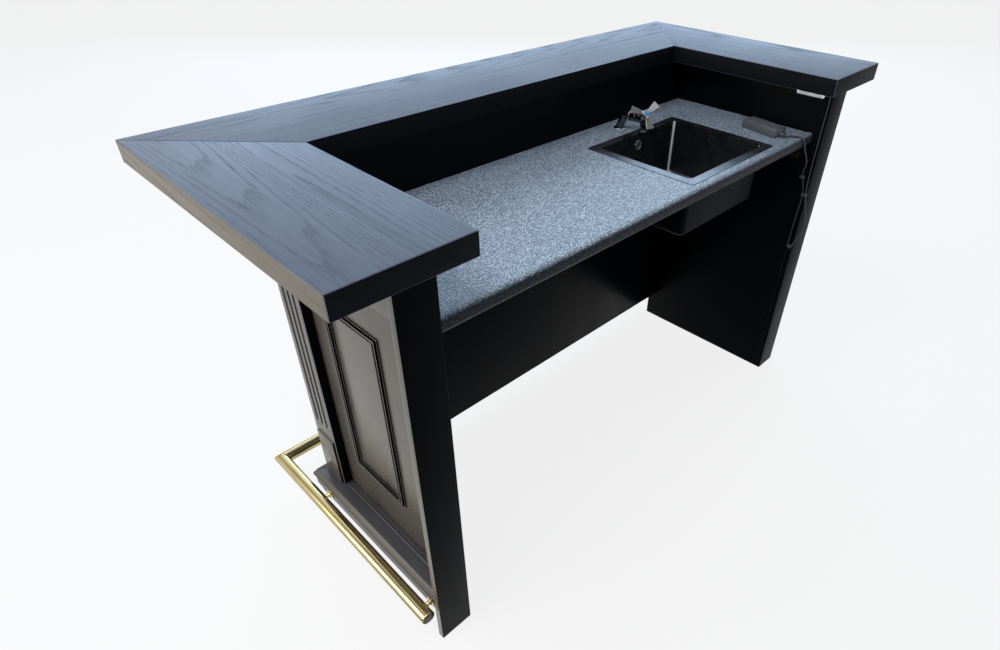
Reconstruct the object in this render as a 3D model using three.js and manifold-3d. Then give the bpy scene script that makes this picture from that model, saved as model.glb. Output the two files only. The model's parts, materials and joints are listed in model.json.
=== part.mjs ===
import * as THREE from 'three';
import Module from 'manifold-3d';
import { mergeVertices } from 'three/addons/utils/BufferGeometryUtils.js';

const wasm = await Module();
wasm.setup();

// Bar top, millimetres, +Z up, customers at +Y
const TOP_LENGTH = 1900;
const TOP_DEPTH = 845;
const TOP_HEIGHT = 1100;
const TOP_THICK = 50;
const TOP_WIDTH = 285;
const MITRE_GAP = 0.3;

// Walls
const SHEET = 18;
const END_SETBACK = 27;
const END_WIDTH = 90;
const SIDE_OVERHANG = 74;
const FRONT_REVEAL = 2;
const FRONT_LIFT = 92;
const BEARER_THICK = 45;
const BEARER_HIGH = 110;

// Pilasters with foot blocks and stopped flutes
const PILASTER_WIDTH = 100;
const PILASTER_THICK = 24;
const PILASTER_FRONT = 42.5;
const BLOCK_PROUD = 5;
const BLOCK_INSET = 10;
const BLOCK_HIGH = 160;
const FLUTE_COUNT = 3;
const FLUTE_PITCH = 24.5;
const FLUTE_RADIUS = 8;
const FLUTE_DEPTH = 5;
const FLUTE_FOOT = 38;
const FLUTE_HEAD = 40;

// Bead frames
const BEAD_WIDE = 216;
const BEAD_HIGH = 526;
const BEAD_LIFT = 133;
const BEAD_BAND = 20;
const BEAD_PROUD = 9;
const BEAD_ROUND = 4;
const BEAD_SIDE_MARGIN = 74.5;

// Plinth
const PLINTH_TOP = 140;
const PLINTH_LIFT = 52;
const PLINTH_LEDGE = 40;
const CAP_THICK = 24;
const CAP_NOSE = 5;
const CAP_SLOPE = 11;
const CAP_FALL = 17;
const FOOT_STEP = 7;
const FOOT_FALL = 14;
const FOOT_HIGH = 16;

// Foot rail
const RAIL_RADIUS = 18;
const RAIL_WALL = 1.6;
const RAIL_HIGH = 100;
const RAIL_SIDE = 99;
const RAIL_FRONT = 66;
const RAIL_END = 48;
const RAIL_CAP_THICK = 4;
const RAIL_SPIGOT = 12;
const ROSE_RADIUS = 15;
const ROSE_THICK = 5;
const ARM_RADIUS = 6;
const SIDE_BRACKETS = [77, 556];
const FRONT_BRACKETS = [-0.36, 0, 0.36];

// Worktop
const WORK_DROP = 182;
const WORK_THICK = 38;
const WORK_FRONT = 58;
const WORK_ROUND = 15;
const BATTEN_THICK = 20;
const BATTEN_HIGH = 45;
const BATTEN_INSET = 22;
const TRIM_THICK = 8;
const TRIM_HIGH = 10;
const CUT_OVER = 1;

// Sink
const SINK_SIDE = 197;
const SINK_AHEAD = 27.5;
const SINK_BEHIND = 110.5;
const RIM_WIDE = 420;
const RIM_FLANGE = 27;
const RIM_ROUND = 8;
const BOWL_DEPTH = 172;
const BOWL_ROUND = 14;
const CORNER_STEPS = 6;
const FILLET_STEPS = 4;
const STEEL = 1.5;
const CUT_CLEAR = 3;
const WASTE_HOLE = 26;
const WASTE_FLANGE = 36;
const WASTE_FLANGE_THICK = 3;
const WASTE_BORE = 20;
const WASTE_BODY = 25;
const WASTE_TAIL = 70;
const STRAINER_CLEAR = 0.8;
const STRAINER_HIGH = 10;
const STRAINER_LIP = 3;
const STRAINER_KNOB = 5;
const OVERFLOW_DROP = 34;
const OVERFLOW_RADIUS = 15;
const OVERFLOW_PROUD = 3;
const OVERFLOW_HOLE = 9;

// Tap
const TAP_WALL = 60.5;
const TAP_FLANGE = 18;
const TAP_FLANGE_THICK = 5;
const TAP_FLANGE_EDGE = 2;
const TAP_COLUMN = 12;
const TAP_RISE = 48;
const TAP_LEAN = 17;
const TAP_REACH = 29;
const UNION_SWELL = 3;
const UNION_LENGTH = 8;
const TAP_BODY_LENGTH = 42;
const TAP_BODY_RADIUS = 14;
const TAP_SPOUT_RADIUS = 9.5;
const TAP_SPOUT_DROP = 44;
const NOZZLE_SWELL = 2;
const NOZZLE_LENGTH = 10;
const TAP_TAIL_RADIUS = 10;
const TAP_TAIL = 72;
const TAP_NUT_RADIUS = 19;
const TAP_NUT_THICK = 9;
const TAP_TILT = 44.5;
const TAP_SWING = 39;
const BONNET_RADIUS = 10;
const BONNET_LENGTH = 22;
const HUB_RADIUS = 21;
const HUB_THICK = 14;
const PADDLE_REACH = 48;
const PADDLE_ROOT = 5;
const PADDLE_END = 13;
const PADDLE_SETBACK = 3;
const PADDLE_TURN = 40;
const CAP_DOT_RADIUS = 7;
const CAP_DOT_THICK = 2.5;
const TURN_GAP = 0.3;

// Light, its driver and lead
const LED_LENGTH = 80;
const LED_WIDE = 15;
const LED_THICK = 9;
const LED_END = 32;
const LED_EDGE = 2;
const DRIVER_LENGTH = 127;
const DRIVER_WIDE = 50;
const DRIVER_HIGH = 27;
const DRIVER_ROUND = 3;
const DRIVER_SIDE = 103;
const DRIVER_AHEAD = 118.5;
const DRIVER_TURN = -9.7;
const LEAD_RADIUS = 2.5;
const LEAD_LIFT = 0.7;
const LEAD_EXIT = 10;
const LEAD_SAG = 3;
const LEAD_STUB = 14;
const LEAD_LINE = 8;
const LEAD_PAIR = 5;
const LEAD_SPREAD = 22;
const LEAD_MEET = 29;
const LEAD_MEET_DROP = 84;
const LEAD_LOOP_DROP = 358;
const LEAD_LOOP_HIGH = 201;
const LEAD_TURN = 18;
const LEAD_CROWN = 40;
const CLIP_SIZE = 16;
const CLIP_HIGH = 8;
const CLIP_CLEAR = 0.3;

// Places that follow from the sizes
const X_EDGE = TOP_LENGTH / 2;
const Y_REAR = -TOP_DEPTH / 2;
const Y_FRONT = TOP_DEPTH / 2;
const UNDER = TOP_HEIGHT - TOP_THICK;
const WORK_TOP = TOP_HEIGHT - WORK_DROP;
const X_IN = X_EDGE - TOP_WIDTH + SIDE_OVERHANG;
const X_OUT = X_IN + SHEET;
const X_PIL = X_OUT + PILASTER_THICK;
const Y_END = Y_REAR + END_SETBACK;
const Y_WALL = Y_END + SHEET;
const Y_IN = Y_FRONT - TOP_WIDTH + FRONT_REVEAL;
const Y_OUT = Y_IN + SHEET;
const Y_PIL = Y_OUT + PILASTER_FRONT;
const Z_FRIEZE = UNDER - BEARER_HIGH;
const X_NOSE = X_PIL + PLINTH_LEDGE;
const Y_NOSE = Y_OUT + X_NOSE - X_OUT;
const X_RAIL = X_EDGE - RAIL_SIDE;
const Y_RAIL = Y_FRONT - RAIL_FRONT;
const Y_RAIL_END = Y_REAR + RAIL_END;
const Y_WORK = Y_REAR + WORK_FRONT;
const WORK_UNDER = WORK_TOP - WORK_THICK;
const RIM_DEEP = Y_IN - Y_WORK - SINK_AHEAD - SINK_BEHIND;
const SINK_X = X_IN - SINK_SIDE - RIM_WIDE / 2;
const SINK_Y = Y_WORK + SINK_AHEAD + RIM_DEEP / 2;
const BOWL_WIDE = RIM_WIDE - 2 * RIM_FLANGE;
const BOWL_DEEP = RIM_DEEP - 2 * RIM_FLANGE;
const BOWL_FLOOR = WORK_TOP + STEEL - BOWL_DEPTH;
const BOWL_BACK = SINK_Y + BOWL_DEEP / 2;
const TAP_Y = Y_IN - TAP_WALL;
const TAP_AXIS_Z = WORK_TOP + TAP_RISE;
const UNION_Y = TAP_Y - TAP_LEAN - TAP_REACH;
const VALVE_Y = UNION_Y - TAP_BODY_LENGTH;
const DRIVER_X = X_IN - DRIVER_SIDE;
const DRIVER_Y = Y_WORK + DRIVER_AHEAD;
const LED_X = X_EDGE - TOP_WIDTH + LED_EDGE;
const LEAD_TOP = WORK_UNDER - LEAD_LOOP_DROP + LEAD_LOOP_HIGH;
const LEAD_FOOT = WORK_UNDER - LEAD_LOOP_DROP;

const group = new THREE.Group();
group.name = 'bar_counter';

const finish = (name, hex, roughness, metalness) => {
  const material = new THREE.MeshStandardMaterial({ color: hex, roughness, metalness });
  material.name = name;
  return material;
};
const OAK = finish('black_oak', 0x1d1b1a, 0.38, 0);
const BLACK = finish('black_lacquer', 0x0f0f11, 0.3, 0);
const LAMINATE = finish('granite_laminate', 0x59626c, 0.4, 0);
const SINK_STEEL = finish('sink_steel', 0x4b4f55, 0.3, 1);
const BRASS = finish('brass', 0xd3a03f, 0.2, 1);
const DARK_CHROME = finish('black_chrome', 0x26272b, 0.15, 1);
const BRIGHT = finish('bright_steel', 0xb9bdc2, 0.2, 1);
const BLUE = finish('blue_plastic', 0x2450b8, 0.35, 0);
const CASE = finish('driver_case', 0x24262a, 0.55, 0);
const CABLE = finish('dark_cable', 0x2a2b2e, 0.5, 0);
const LIGHT = finish('led_white', 0xe9ecee, 0.4, 0);
const TIMBER = finish('bearer_timber', 0x2a2724, 0.7, 0);

const solid = (geometry) => {
  const plain = geometry.clone();
  plain.deleteAttribute('normal');
  plain.deleteAttribute('uv');
  const merged = mergeVertices(plain, 1e-4);
  return new wasm.Manifold(new wasm.Mesh({
    numProp: 3,
    vertProperties: new Float32Array(merged.attributes.position.array),
    triVerts: new Uint32Array(merged.index.array),
  }));
};

const shell = (manifold) => {
  const mesh = manifold.getMesh();
  const geometry = new THREE.BufferGeometry();
  geometry.setAttribute('position', new THREE.BufferAttribute(new Float32Array(mesh.vertProperties), 3));
  geometry.setIndex(new THREE.BufferAttribute(new Uint32Array(mesh.triVerts), 1));
  geometry.computeVertexNormals();
  return geometry;
};

const cut = (geometry, ...tools) => {
  let body = solid(geometry);
  for (const tool of tools) body = body.subtract(solid(tool));
  return shell(body);
};

const join = (geometry, ...others) => {
  let body = solid(geometry);
  for (const other of others) body = body.add(solid(other));
  return shell(body);
};

const mirror = (geometry) => {
  const flipped = geometry.index ? geometry.toNonIndexed() : geometry.clone();
  flipped.scale(-1, 1, 1);
  const points = flipped.attributes.position;
  const corner = new THREE.Vector3();
  const other = new THREE.Vector3();
  for (let i = 0; i < points.count; i += 3) {
    corner.fromBufferAttribute(points, i + 1);
    other.fromBufferAttribute(points, i + 2);
    points.setXYZ(i + 1, other.x, other.y, other.z);
    points.setXYZ(i + 2, corner.x, corner.y, corner.z);
  }
  flipped.computeVertexNormals();
  return flipped;
};

const add = (name, geometry, material) => {
  const mesh = new THREE.Mesh(geometry, material);
  mesh.name = name;
  group.add(mesh);
};

const box = (x0, x1, y0, y1, z0, z1) => {
  const geometry = new THREE.BoxGeometry(x1 - x0, y1 - y0, z1 - z0);
  return geometry.translate((x0 + x1) / 2, (y0 + y1) / 2, (z0 + z1) / 2);
};

const plan = (points, z0, z1) => {
  const shape = new THREE.Shape(points.map(([x, y]) => new THREE.Vector2(x, y)));
  const geometry = new THREE.ExtrudeGeometry(shape, { depth: z1 - z0, bevelEnabled: false });
  return geometry.translate(0, 0, z0);
};

const rod = (radius, from, to, sides = 24) => {
  const start = new THREE.Vector3(...from);
  const way = new THREE.Vector3(...to).sub(start);
  const geometry = new THREE.CylinderGeometry(radius, radius, way.length(), sides);
  geometry.translate(0, way.length() / 2, 0);
  geometry.applyQuaternion(new THREE.Quaternion().setFromUnitVectors(
    new THREE.Vector3(0, 1, 0), way.clone().normalize()));
  return geometry.translate(start.x, start.y, start.z);
};

const ball = (radius, x, y, z) => new THREE.SphereGeometry(radius, 20, 14).translate(x, y, z);

const turned = (profile, sides = 36) => {
  const points = profile.map(([r, z]) => new THREE.Vector2(r, z));
  return new THREE.LatheGeometry(points, sides).rotateX(Math.PI / 2);
};

const barTop = () => {
  const inner = X_EDGE - TOP_WIDTH;
  const innerY = Y_FRONT - TOP_WIDTH;
  add('bar_top_front', plan([
    [-inner, innerY], [inner, innerY], [X_EDGE - MITRE_GAP, Y_FRONT], [MITRE_GAP - X_EDGE, Y_FRONT],
  ], UNDER, TOP_HEIGHT), OAK);
  const arm = plan([
    [-X_EDGE, Y_REAR], [-inner, Y_REAR], [-inner, innerY - MITRE_GAP], [-X_EDGE, Y_FRONT - MITRE_GAP],
  ], UNDER, TOP_HEIGHT);
  add('bar_top_left', arm, OAK);
  add('bar_top_right', mirror(arm), OAK);
};

const walls = () => {
  const side = box(-X_OUT, -X_IN, Y_WALL, Y_OUT, 0, UNDER);
  add('left_panel', side, BLACK);
  add('right_panel', mirror(side), BLACK);
  add('front_panel', box(-X_IN, X_IN, Y_IN, Y_OUT, FRONT_LIFT, UNDER), BLACK);
  const end = box(-X_IN - END_WIDTH, -X_IN, Y_END, Y_WALL, 0, UNDER);
  add('left_end_board', end, BLACK);
  add('right_end_board', mirror(end), BLACK);
  const sideBearer = box(-X_OUT - BEARER_THICK, -X_OUT, Y_WALL, Y_OUT, Z_FRIEZE, UNDER);
  add('left_top_bearer', sideBearer, TIMBER);
  add('right_top_bearer', mirror(sideBearer), TIMBER);
  const reach = X_OUT + BEARER_THICK;
  add('front_top_bearer', box(-reach, reach, Y_OUT, Y_OUT + BEARER_THICK, Z_FRIEZE, UNDER), TIMBER);
};

const flutes = (along, face, middle) => {
  const z0 = PLINTH_TOP + BLOCK_HIGH + FLUTE_FOOT + FLUTE_RADIUS;
  const z1 = Z_FRIEZE - FLUTE_HEAD - FLUTE_RADIUS;
  const sink = face + Math.sign(face) * (FLUTE_RADIUS - FLUTE_DEPTH);
  const tools = [];
  for (let i = 0; i < FLUTE_COUNT; i += 1) {
    const at = middle + (i - (FLUTE_COUNT - 1) / 2) * FLUTE_PITCH;
    const [x, y] = along === 'y' ? [sink, at] : [at, sink];
    const groove = new THREE.CapsuleGeometry(FLUTE_RADIUS, z1 - z0, 4, 14).rotateX(Math.PI / 2);
    tools.push(groove.translate(x, y, (z0 + z1) / 2));
  }
  return tools;
};

const pilasters = () => {
  const foot = PLINTH_TOP + BLOCK_HIGH;
  const near = PILASTER_WIDTH - BLOCK_INSET;
  const shaft = plan([
    [-X_PIL, Y_PIL], [-X_PIL, Y_PIL - PILASTER_WIDTH], [-X_OUT, Y_PIL - PILASTER_WIDTH],
    [-X_OUT, Y_OUT], [-X_PIL + PILASTER_WIDTH, Y_OUT], [-X_PIL + PILASTER_WIDTH, Y_PIL],
  ].reverse(), PLINTH_TOP, Z_FRIEZE);
  const corner = cut(
    join(shaft,
      box(-X_PIL - BLOCK_PROUD, -X_OUT, Y_PIL - near, Y_PIL - BLOCK_INSET, PLINTH_TOP, foot),
      box(-X_PIL + BLOCK_INSET, -X_PIL + near, Y_OUT, Y_PIL + BLOCK_PROUD, PLINTH_TOP, foot)),
    ...flutes('y', -X_PIL, Y_PIL - PILASTER_WIDTH / 2),
    ...flutes('x', Y_PIL, -X_PIL + PILASTER_WIDTH / 2));
  add('left_corner_pilaster', corner, BLACK);
  add('right_corner_pilaster', mirror(corner), BLACK);
  const wide = PILASTER_WIDTH / 2;
  const at = -(X_PIL - wide) / 3;
  const middle = cut(
    join(box(at - wide, at + wide, Y_OUT, Y_PIL, PLINTH_TOP, Z_FRIEZE),
      box(at - wide + BLOCK_INSET, at + wide - BLOCK_INSET, Y_OUT, Y_PIL + BLOCK_PROUD, PLINTH_TOP, foot)),
    ...flutes('x', Y_PIL, at));
  add('front_left_pilaster', middle, BLACK);
  add('front_right_pilaster', mirror(middle), BLACK);
};

const beadRing = () => {
  const outline = (w, h) => {
    const shape = new THREE.Path();
    shape.moveTo(-w / 2, -h / 2);
    shape.lineTo(w / 2, -h / 2);
    shape.lineTo(w / 2, h / 2);
    shape.lineTo(-w / 2, h / 2);
    shape.closePath();
    return shape;
  };
  const shape = new THREE.Shape(outline(BEAD_WIDE - 2 * BEAD_ROUND, BEAD_HIGH - 2 * BEAD_ROUND).getPoints());
  const open = 2 * (BEAD_BAND - BEAD_ROUND);
  shape.holes.push(outline(BEAD_WIDE - open, BEAD_HIGH - open));
  const ring = new THREE.ExtrudeGeometry(shape, {
    depth: BEAD_PROUD, bevelEnabled: true, bevelSize: BEAD_ROUND, bevelThickness: BEAD_ROUND, bevelSegments: 2,
  });
  const behind = box(-BEAD_WIDE, BEAD_WIDE, -BEAD_HIGH, BEAD_HIGH, -BEAD_PROUD, BEAD_ROUND);
  const front = cut(ring, behind).translate(0, 0, -BEAD_ROUND);
  return front.rotateX(Math.PI / 2).rotateZ(Math.PI);
};

const beads = () => {
  const z = PLINTH_TOP + BEAD_LIFT + BEAD_HIGH / 2;
  const sideAt = Y_PIL - PILASTER_WIDTH - BEAD_SIDE_MARGIN - BEAD_WIDE / 2;
  const side = beadRing().rotateZ(Math.PI / 2).translate(-X_OUT, sideAt, z);
  add('left_bead_frame', side, BLACK);
  add('right_bead_frame', mirror(side), BLACK);
  const step = 2 * (X_PIL - PILASTER_WIDTH / 2) / 3;
  ['front_left', 'front_middle', 'front_right'].forEach((name, i) => {
    add(`${name}_bead_frame`, beadRing().translate((i - 1) * step, Y_OUT, z), BLACK);
  });
};

const nosing = (depth, length) => {
  const shape = new THREE.Shape([
    [0, -CAP_THICK], [depth, -CAP_THICK], [depth, -CAP_FALL], [depth - CAP_SLOPE, 0], [0, 0],
  ].map(([x, y]) => new THREE.Vector2(x, y)));
  const geometry = new THREE.ExtrudeGeometry(shape, { depth: length, bevelEnabled: false });
  return geometry.rotateX(Math.PI / 2);
};

// The plinth board's section: a flat face for the rail brackets above a foot that steps in
const skirting = (length) => {
  const top = PLINTH_TOP - CAP_THICK;
  const foot = PLINTH_LIFT + FOOT_HIGH;
  const shape = new THREE.Shape([
    [0, PLINTH_LIFT], [SHEET - FOOT_STEP, PLINTH_LIFT], [SHEET - FOOT_STEP, foot],
    [SHEET, foot + FOOT_FALL], [SHEET, top], [0, top],
  ].map(([x, y]) => new THREE.Vector2(x, y)));
  const geometry = new THREE.ExtrudeGeometry(shape, { depth: length, bevelEnabled: false });
  return geometry.rotateX(Math.PI / 2);
};

const plinth = () => {
  const depth = X_NOSE - X_OUT;
  const far = 2 * depth;
  const wedge = (shift) => plan([
    [-X_OUT + far, Y_OUT - far + shift], [-X_OUT - 2 * far, Y_OUT + 2 * far + shift],
    [-X_OUT + far, Y_OUT + 2 * far + shift],
  ].reverse(), 0, UNDER);
  const other = (shift) => plan([
    [-X_OUT + far, Y_OUT - far + shift], [-X_OUT - 2 * far, Y_OUT + 2 * far + shift],
    [-X_OUT - 2 * far, Y_OUT - far + shift],
  ], 0, UNDER);
  const sideLength = Y_NOSE - Y_WALL;
  const sideCap = cut(nosing(depth, sideLength).rotateZ(Math.PI).translate(-X_OUT, Y_WALL, PLINTH_TOP), wedge(-MITRE_GAP));
  add('left_plinth_cap', sideCap, BLACK);
  add('right_plinth_cap', mirror(sideCap), BLACK);
  const frontCap = nosing(depth, 2 * X_NOSE).rotateZ(Math.PI / 2).translate(-X_NOSE, Y_OUT, PLINTH_TOP);
  add('front_plinth_cap', cut(frontCap, other(MITRE_GAP), mirror(other(MITRE_GAP))), BLACK);
  const face = X_NOSE - CAP_NOSE;
  const faceY = Y_NOSE - CAP_NOSE;
  const side = skirting(faceY - Y_WALL).rotateZ(Math.PI).translate(-face + SHEET, Y_WALL, 0);
  const sideBoard = cut(side, wedge(-MITRE_GAP));
  add('left_plinth_board', sideBoard, BLACK);
  add('right_plinth_board', mirror(sideBoard), BLACK);
  const front = skirting(2 * face).rotateZ(Math.PI / 2).translate(-face, faceY - SHEET, 0);
  add('front_plinth_board', cut(front, other(MITRE_GAP), mirror(other(MITRE_GAP))), BLACK);
};

const tube = (length) => {
  const shape = new THREE.Shape();
  shape.absarc(0, 0, RAIL_RADIUS, 0, 2 * Math.PI, false);
  const bore = new THREE.Path();
  bore.absarc(0, 0, RAIL_RADIUS - RAIL_WALL, 0, 2 * Math.PI, true);
  shape.holes.push(bore);
  return new THREE.ExtrudeGeometry(shape, { depth: length, bevelEnabled: false, curveSegments: 32 });
};

const rail = () => {
  const r = RAIL_RADIUS;
  const big = 4 * r;
  const wedge = plan([
    [-X_RAIL + big, Y_RAIL - big - MITRE_GAP], [-X_RAIL - big, Y_RAIL + big - MITRE_GAP],
    [-X_RAIL + big, Y_RAIL + big],
  ].reverse(), 0, UNDER);
  const other = plan([
    [-X_RAIL + big, Y_RAIL - big], [-X_RAIL - big, Y_RAIL + big], [-X_RAIL - big, Y_RAIL - big],
  ], 0, UNDER);
  const side = cut(tube(Y_RAIL + r - Y_RAIL_END).rotateX(-Math.PI / 2)
    .translate(-X_RAIL, Y_RAIL_END, RAIL_HIGH), wedge);
  add('left_rail', side, BRASS);
  add('right_rail', mirror(side), BRASS);
  const front = tube(2 * (X_RAIL + r)).rotateY(Math.PI / 2).translate(-X_RAIL - r, Y_RAIL, RAIL_HIGH);
  add('front_rail', cut(front, other, mirror(other)), BRASS);
  const plug = r - RAIL_WALL - CLIP_CLEAR;
  const stop = turned([
    [0, -RAIL_SPIGOT], [plug, -RAIL_SPIGOT], [plug, 0], [r, 0], [r, RAIL_CAP_THICK - 1],
    [r - 1, RAIL_CAP_THICK], [0, RAIL_CAP_THICK],
  ]).rotateX(Math.PI / 2).translate(-X_RAIL, Y_RAIL_END, RAIL_HIGH);
  add('left_rail_cap', stop, BRASS);
  add('right_rail_cap', mirror(stop), BRASS);
};

const brackets = () => {
  const face = X_NOSE - CAP_NOSE;
  const faceY = Y_NOSE - CAP_NOSE;
  const clear = RAIL_RADIUS + TURN_GAP;
  SIDE_BRACKETS.forEach((at, i) => {
    const y = Y_REAR + at;
    const piece = cut(
      join(rod(ROSE_RADIUS, [-face, y, RAIL_HIGH], [-face - ROSE_THICK, y, RAIL_HIGH]),
        rod(ARM_RADIUS, [-face - ROSE_THICK / 2, y, RAIL_HIGH], [-X_RAIL, y, RAIL_HIGH])),
      rod(clear, [-X_RAIL, y - ROSE_RADIUS, RAIL_HIGH], [-X_RAIL, y + ROSE_RADIUS, RAIL_HIGH], 64));
    add(`left_bracket_${i + 1}`, piece, BRASS);
    add(`right_bracket_${i + 1}`, mirror(piece), BRASS);
  });
  FRONT_BRACKETS.forEach((share, i) => {
    const x = share * TOP_LENGTH;
    const piece = cut(
      join(rod(ROSE_RADIUS, [x, faceY, RAIL_HIGH], [x, faceY + ROSE_THICK, RAIL_HIGH]),
        rod(ARM_RADIUS, [x, faceY + ROSE_THICK / 2, RAIL_HIGH], [x, Y_RAIL, RAIL_HIGH])),
      rod(clear, [x - ROSE_RADIUS, Y_RAIL, RAIL_HIGH], [x + ROSE_RADIUS, Y_RAIL, RAIL_HIGH], 64));
    add(`front_bracket_${i + 1}`, piece, BRASS);
  });
};

const worktop = () => {
  const r = WORK_ROUND;
  const shape = new THREE.Shape();
  shape.moveTo(Y_IN, WORK_UNDER);
  shape.lineTo(Y_IN, WORK_TOP);
  shape.lineTo(Y_WORK + r, WORK_TOP);
  shape.absarc(Y_WORK + r, WORK_TOP - r, r, Math.PI / 2, Math.PI, false);
  shape.absarc(Y_WORK + r, WORK_UNDER + r, r, Math.PI, 1.5 * Math.PI, false);
  shape.closePath();
  const slab = new THREE.ExtrudeGeometry(shape, { depth: 2 * X_IN, bevelEnabled: false, curveSegments: 8 });
  slab.applyMatrix4(new THREE.Matrix4().makeBasis(
    new THREE.Vector3(0, 1, 0), new THREE.Vector3(0, 0, 1), new THREE.Vector3(1, 0, 0)));
  slab.translate(-X_IN, 0, 0);
  const w = BOWL_WIDE / 2 + STEEL + CUT_CLEAR;
  const d = BOWL_DEEP / 2 + STEEL + CUT_CLEAR;
  const hole = box(SINK_X - w, SINK_X + w, SINK_Y - d, SINK_Y + d,
    WORK_UNDER - CUT_OVER, WORK_TOP + CUT_OVER);
  const tapHole = rod(TAP_TAIL_RADIUS + CUT_OVER,
    [SINK_X, TAP_Y, WORK_UNDER - CUT_OVER], [SINK_X, TAP_Y, WORK_TOP + CUT_OVER]);
  add('worktop', cut(slab, hole, tapHole), LAMINATE);
  const z0 = WORK_UNDER - BATTEN_HIGH;
  const back = Y_IN - BATTEN_THICK;
  const side = box(-X_IN, -X_IN + BATTEN_THICK, Y_WORK + BATTEN_INSET, back, z0, WORK_UNDER);
  add('left_worktop_batten', side, TIMBER);
  add('right_worktop_batten', mirror(side), TIMBER);
  add('rear_worktop_batten', box(-X_IN, X_IN, back, Y_IN, z0, WORK_UNDER), TIMBER);
  add('worktop_end_trim', box(X_IN - TRIM_THICK, X_IN, Y_WORK + WORK_ROUND, Y_IN, WORK_TOP, WORK_TOP + TRIM_HIGH), BLACK);
};

const ring = (w, d, r, z) => {
  const points = [];
  const steps = CORNER_STEPS;
  [[1, 1, 0], [-1, 1, 1], [-1, -1, 2], [1, -1, 3]].forEach(([sx, sy, quarter]) => {
    for (let i = 0; i <= steps; i += 1) {
      const angle = (quarter + i / steps) * Math.PI / 2;
      points.push([sx * (w / 2 - r) + r * Math.cos(angle), sy * (d / 2 - r) + r * Math.sin(angle), z]);
    }
  });
  return points;
};

const loft = (rings) => {
  const count = rings[0].length;
  const index = [];
  rings.forEach((_, k) => {
    const next = (k + 1) % rings.length;
    for (let i = 0; i < count; i += 1) {
      const j = (i + 1) % count;
      const [a, b, c, d] = [k * count + i, k * count + j, next * count + j, next * count + i];
      index.push(a, c, b, a, d, c);
    }
  });
  const geometry = new THREE.BufferGeometry();
  geometry.setAttribute('position', new THREE.Float32BufferAttribute(rings.flat(2), 3));
  geometry.setIndex(index);
  geometry.computeVertexNormals();
  return geometry;
};

const sink = () => {
  const z = WORK_TOP;
  const floor = BOWL_FLOOR;
  const hole = 2 * WASTE_HOLE;
  const level = (grow, angle) => {
    const inset = 2 * BOWL_ROUND * (1 - Math.cos(angle));
    const lift = BOWL_ROUND * (1 - Math.sin(angle)) - grow * Math.sin(angle);
    const wide = 2 * grow * Math.cos(angle) - inset;
    return ring(BOWL_WIDE + wide, BOWL_DEEP + wide, BOWL_ROUND + grow, floor + lift);
  };
  const angles = Array.from({ length: FILLET_STEPS + 1 }, (_, i) => i * Math.PI / 2 / FILLET_STEPS);
  const rings = [
    ring(hole, hole, WASTE_HOLE, floor),
    ...[...angles].reverse().map((angle) => level(0, angle)),
    ring(BOWL_WIDE, BOWL_DEEP, BOWL_ROUND, z + STEEL),
    ring(RIM_WIDE, RIM_DEEP, RIM_ROUND, z + STEEL),
    ring(RIM_WIDE, RIM_DEEP, RIM_ROUND, z),
    ring(BOWL_WIDE + 2 * STEEL, BOWL_DEEP + 2 * STEEL, BOWL_ROUND + STEEL, z),
    ...angles.map((angle) => level(STEEL, angle)),
    ring(hole, hole, WASTE_HOLE, floor - STEEL),
  ];
  const bowl = loft(rings).translate(SINK_X, SINK_Y, 0);
  const rose = WORK_TOP - OVERFLOW_DROP;
  const inside = BOWL_BACK - CUT_OVER;
  const outside = BOWL_BACK + STEEL + CUT_OVER;
  const port = rod(OVERFLOW_HOLE + TURN_GAP, [SINK_X, inside, rose], [SINK_X, outside, rose]);
  add('sink_bowl', cut(bowl, port), SINK_STEEL);
  add('sink_overflow', join(
    rod(OVERFLOW_RADIUS, [SINK_X, BOWL_BACK, rose], [SINK_X, BOWL_BACK - OVERFLOW_PROUD, rose]),
    rod(OVERFLOW_HOLE, [SINK_X, inside, rose], [SINK_X, outside, rose])), BRIGHT);
  const top = WASTE_FLANGE_THICK;
  const waste = turned([
    [WASTE_BORE, -WASTE_TAIL], [WASTE_BODY, -WASTE_TAIL], [WASTE_BODY, 0], [WASTE_FLANGE, 0],
    [WASTE_FLANGE - top / 2, top], [WASTE_BORE, top], [WASTE_BORE, -WASTE_TAIL],
  ]);
  add('sink_waste', waste.translate(SINK_X, SINK_Y, floor), BRIGHT);
  const neck = WASTE_BORE - STRAINER_CLEAR;
  const head = WASTE_BODY + STRAINER_LIP;
  const crown = top + STRAINER_LIP;
  const strainer = turned([
    [0, -STRAINER_HIGH], [neck, -STRAINER_HIGH], [neck, top], [head, top], [neck + STRAINER_LIP, crown],
    [STRAINER_KNOB, crown], [STRAINER_KNOB, top + STRAINER_HIGH], [0, top + STRAINER_HIGH],
  ]);
  add('sink_strainer', strainer.translate(SINK_X, SINK_Y, floor), BRIGHT);
};

const radians = (degrees) => degrees * Math.PI / 180;

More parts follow.
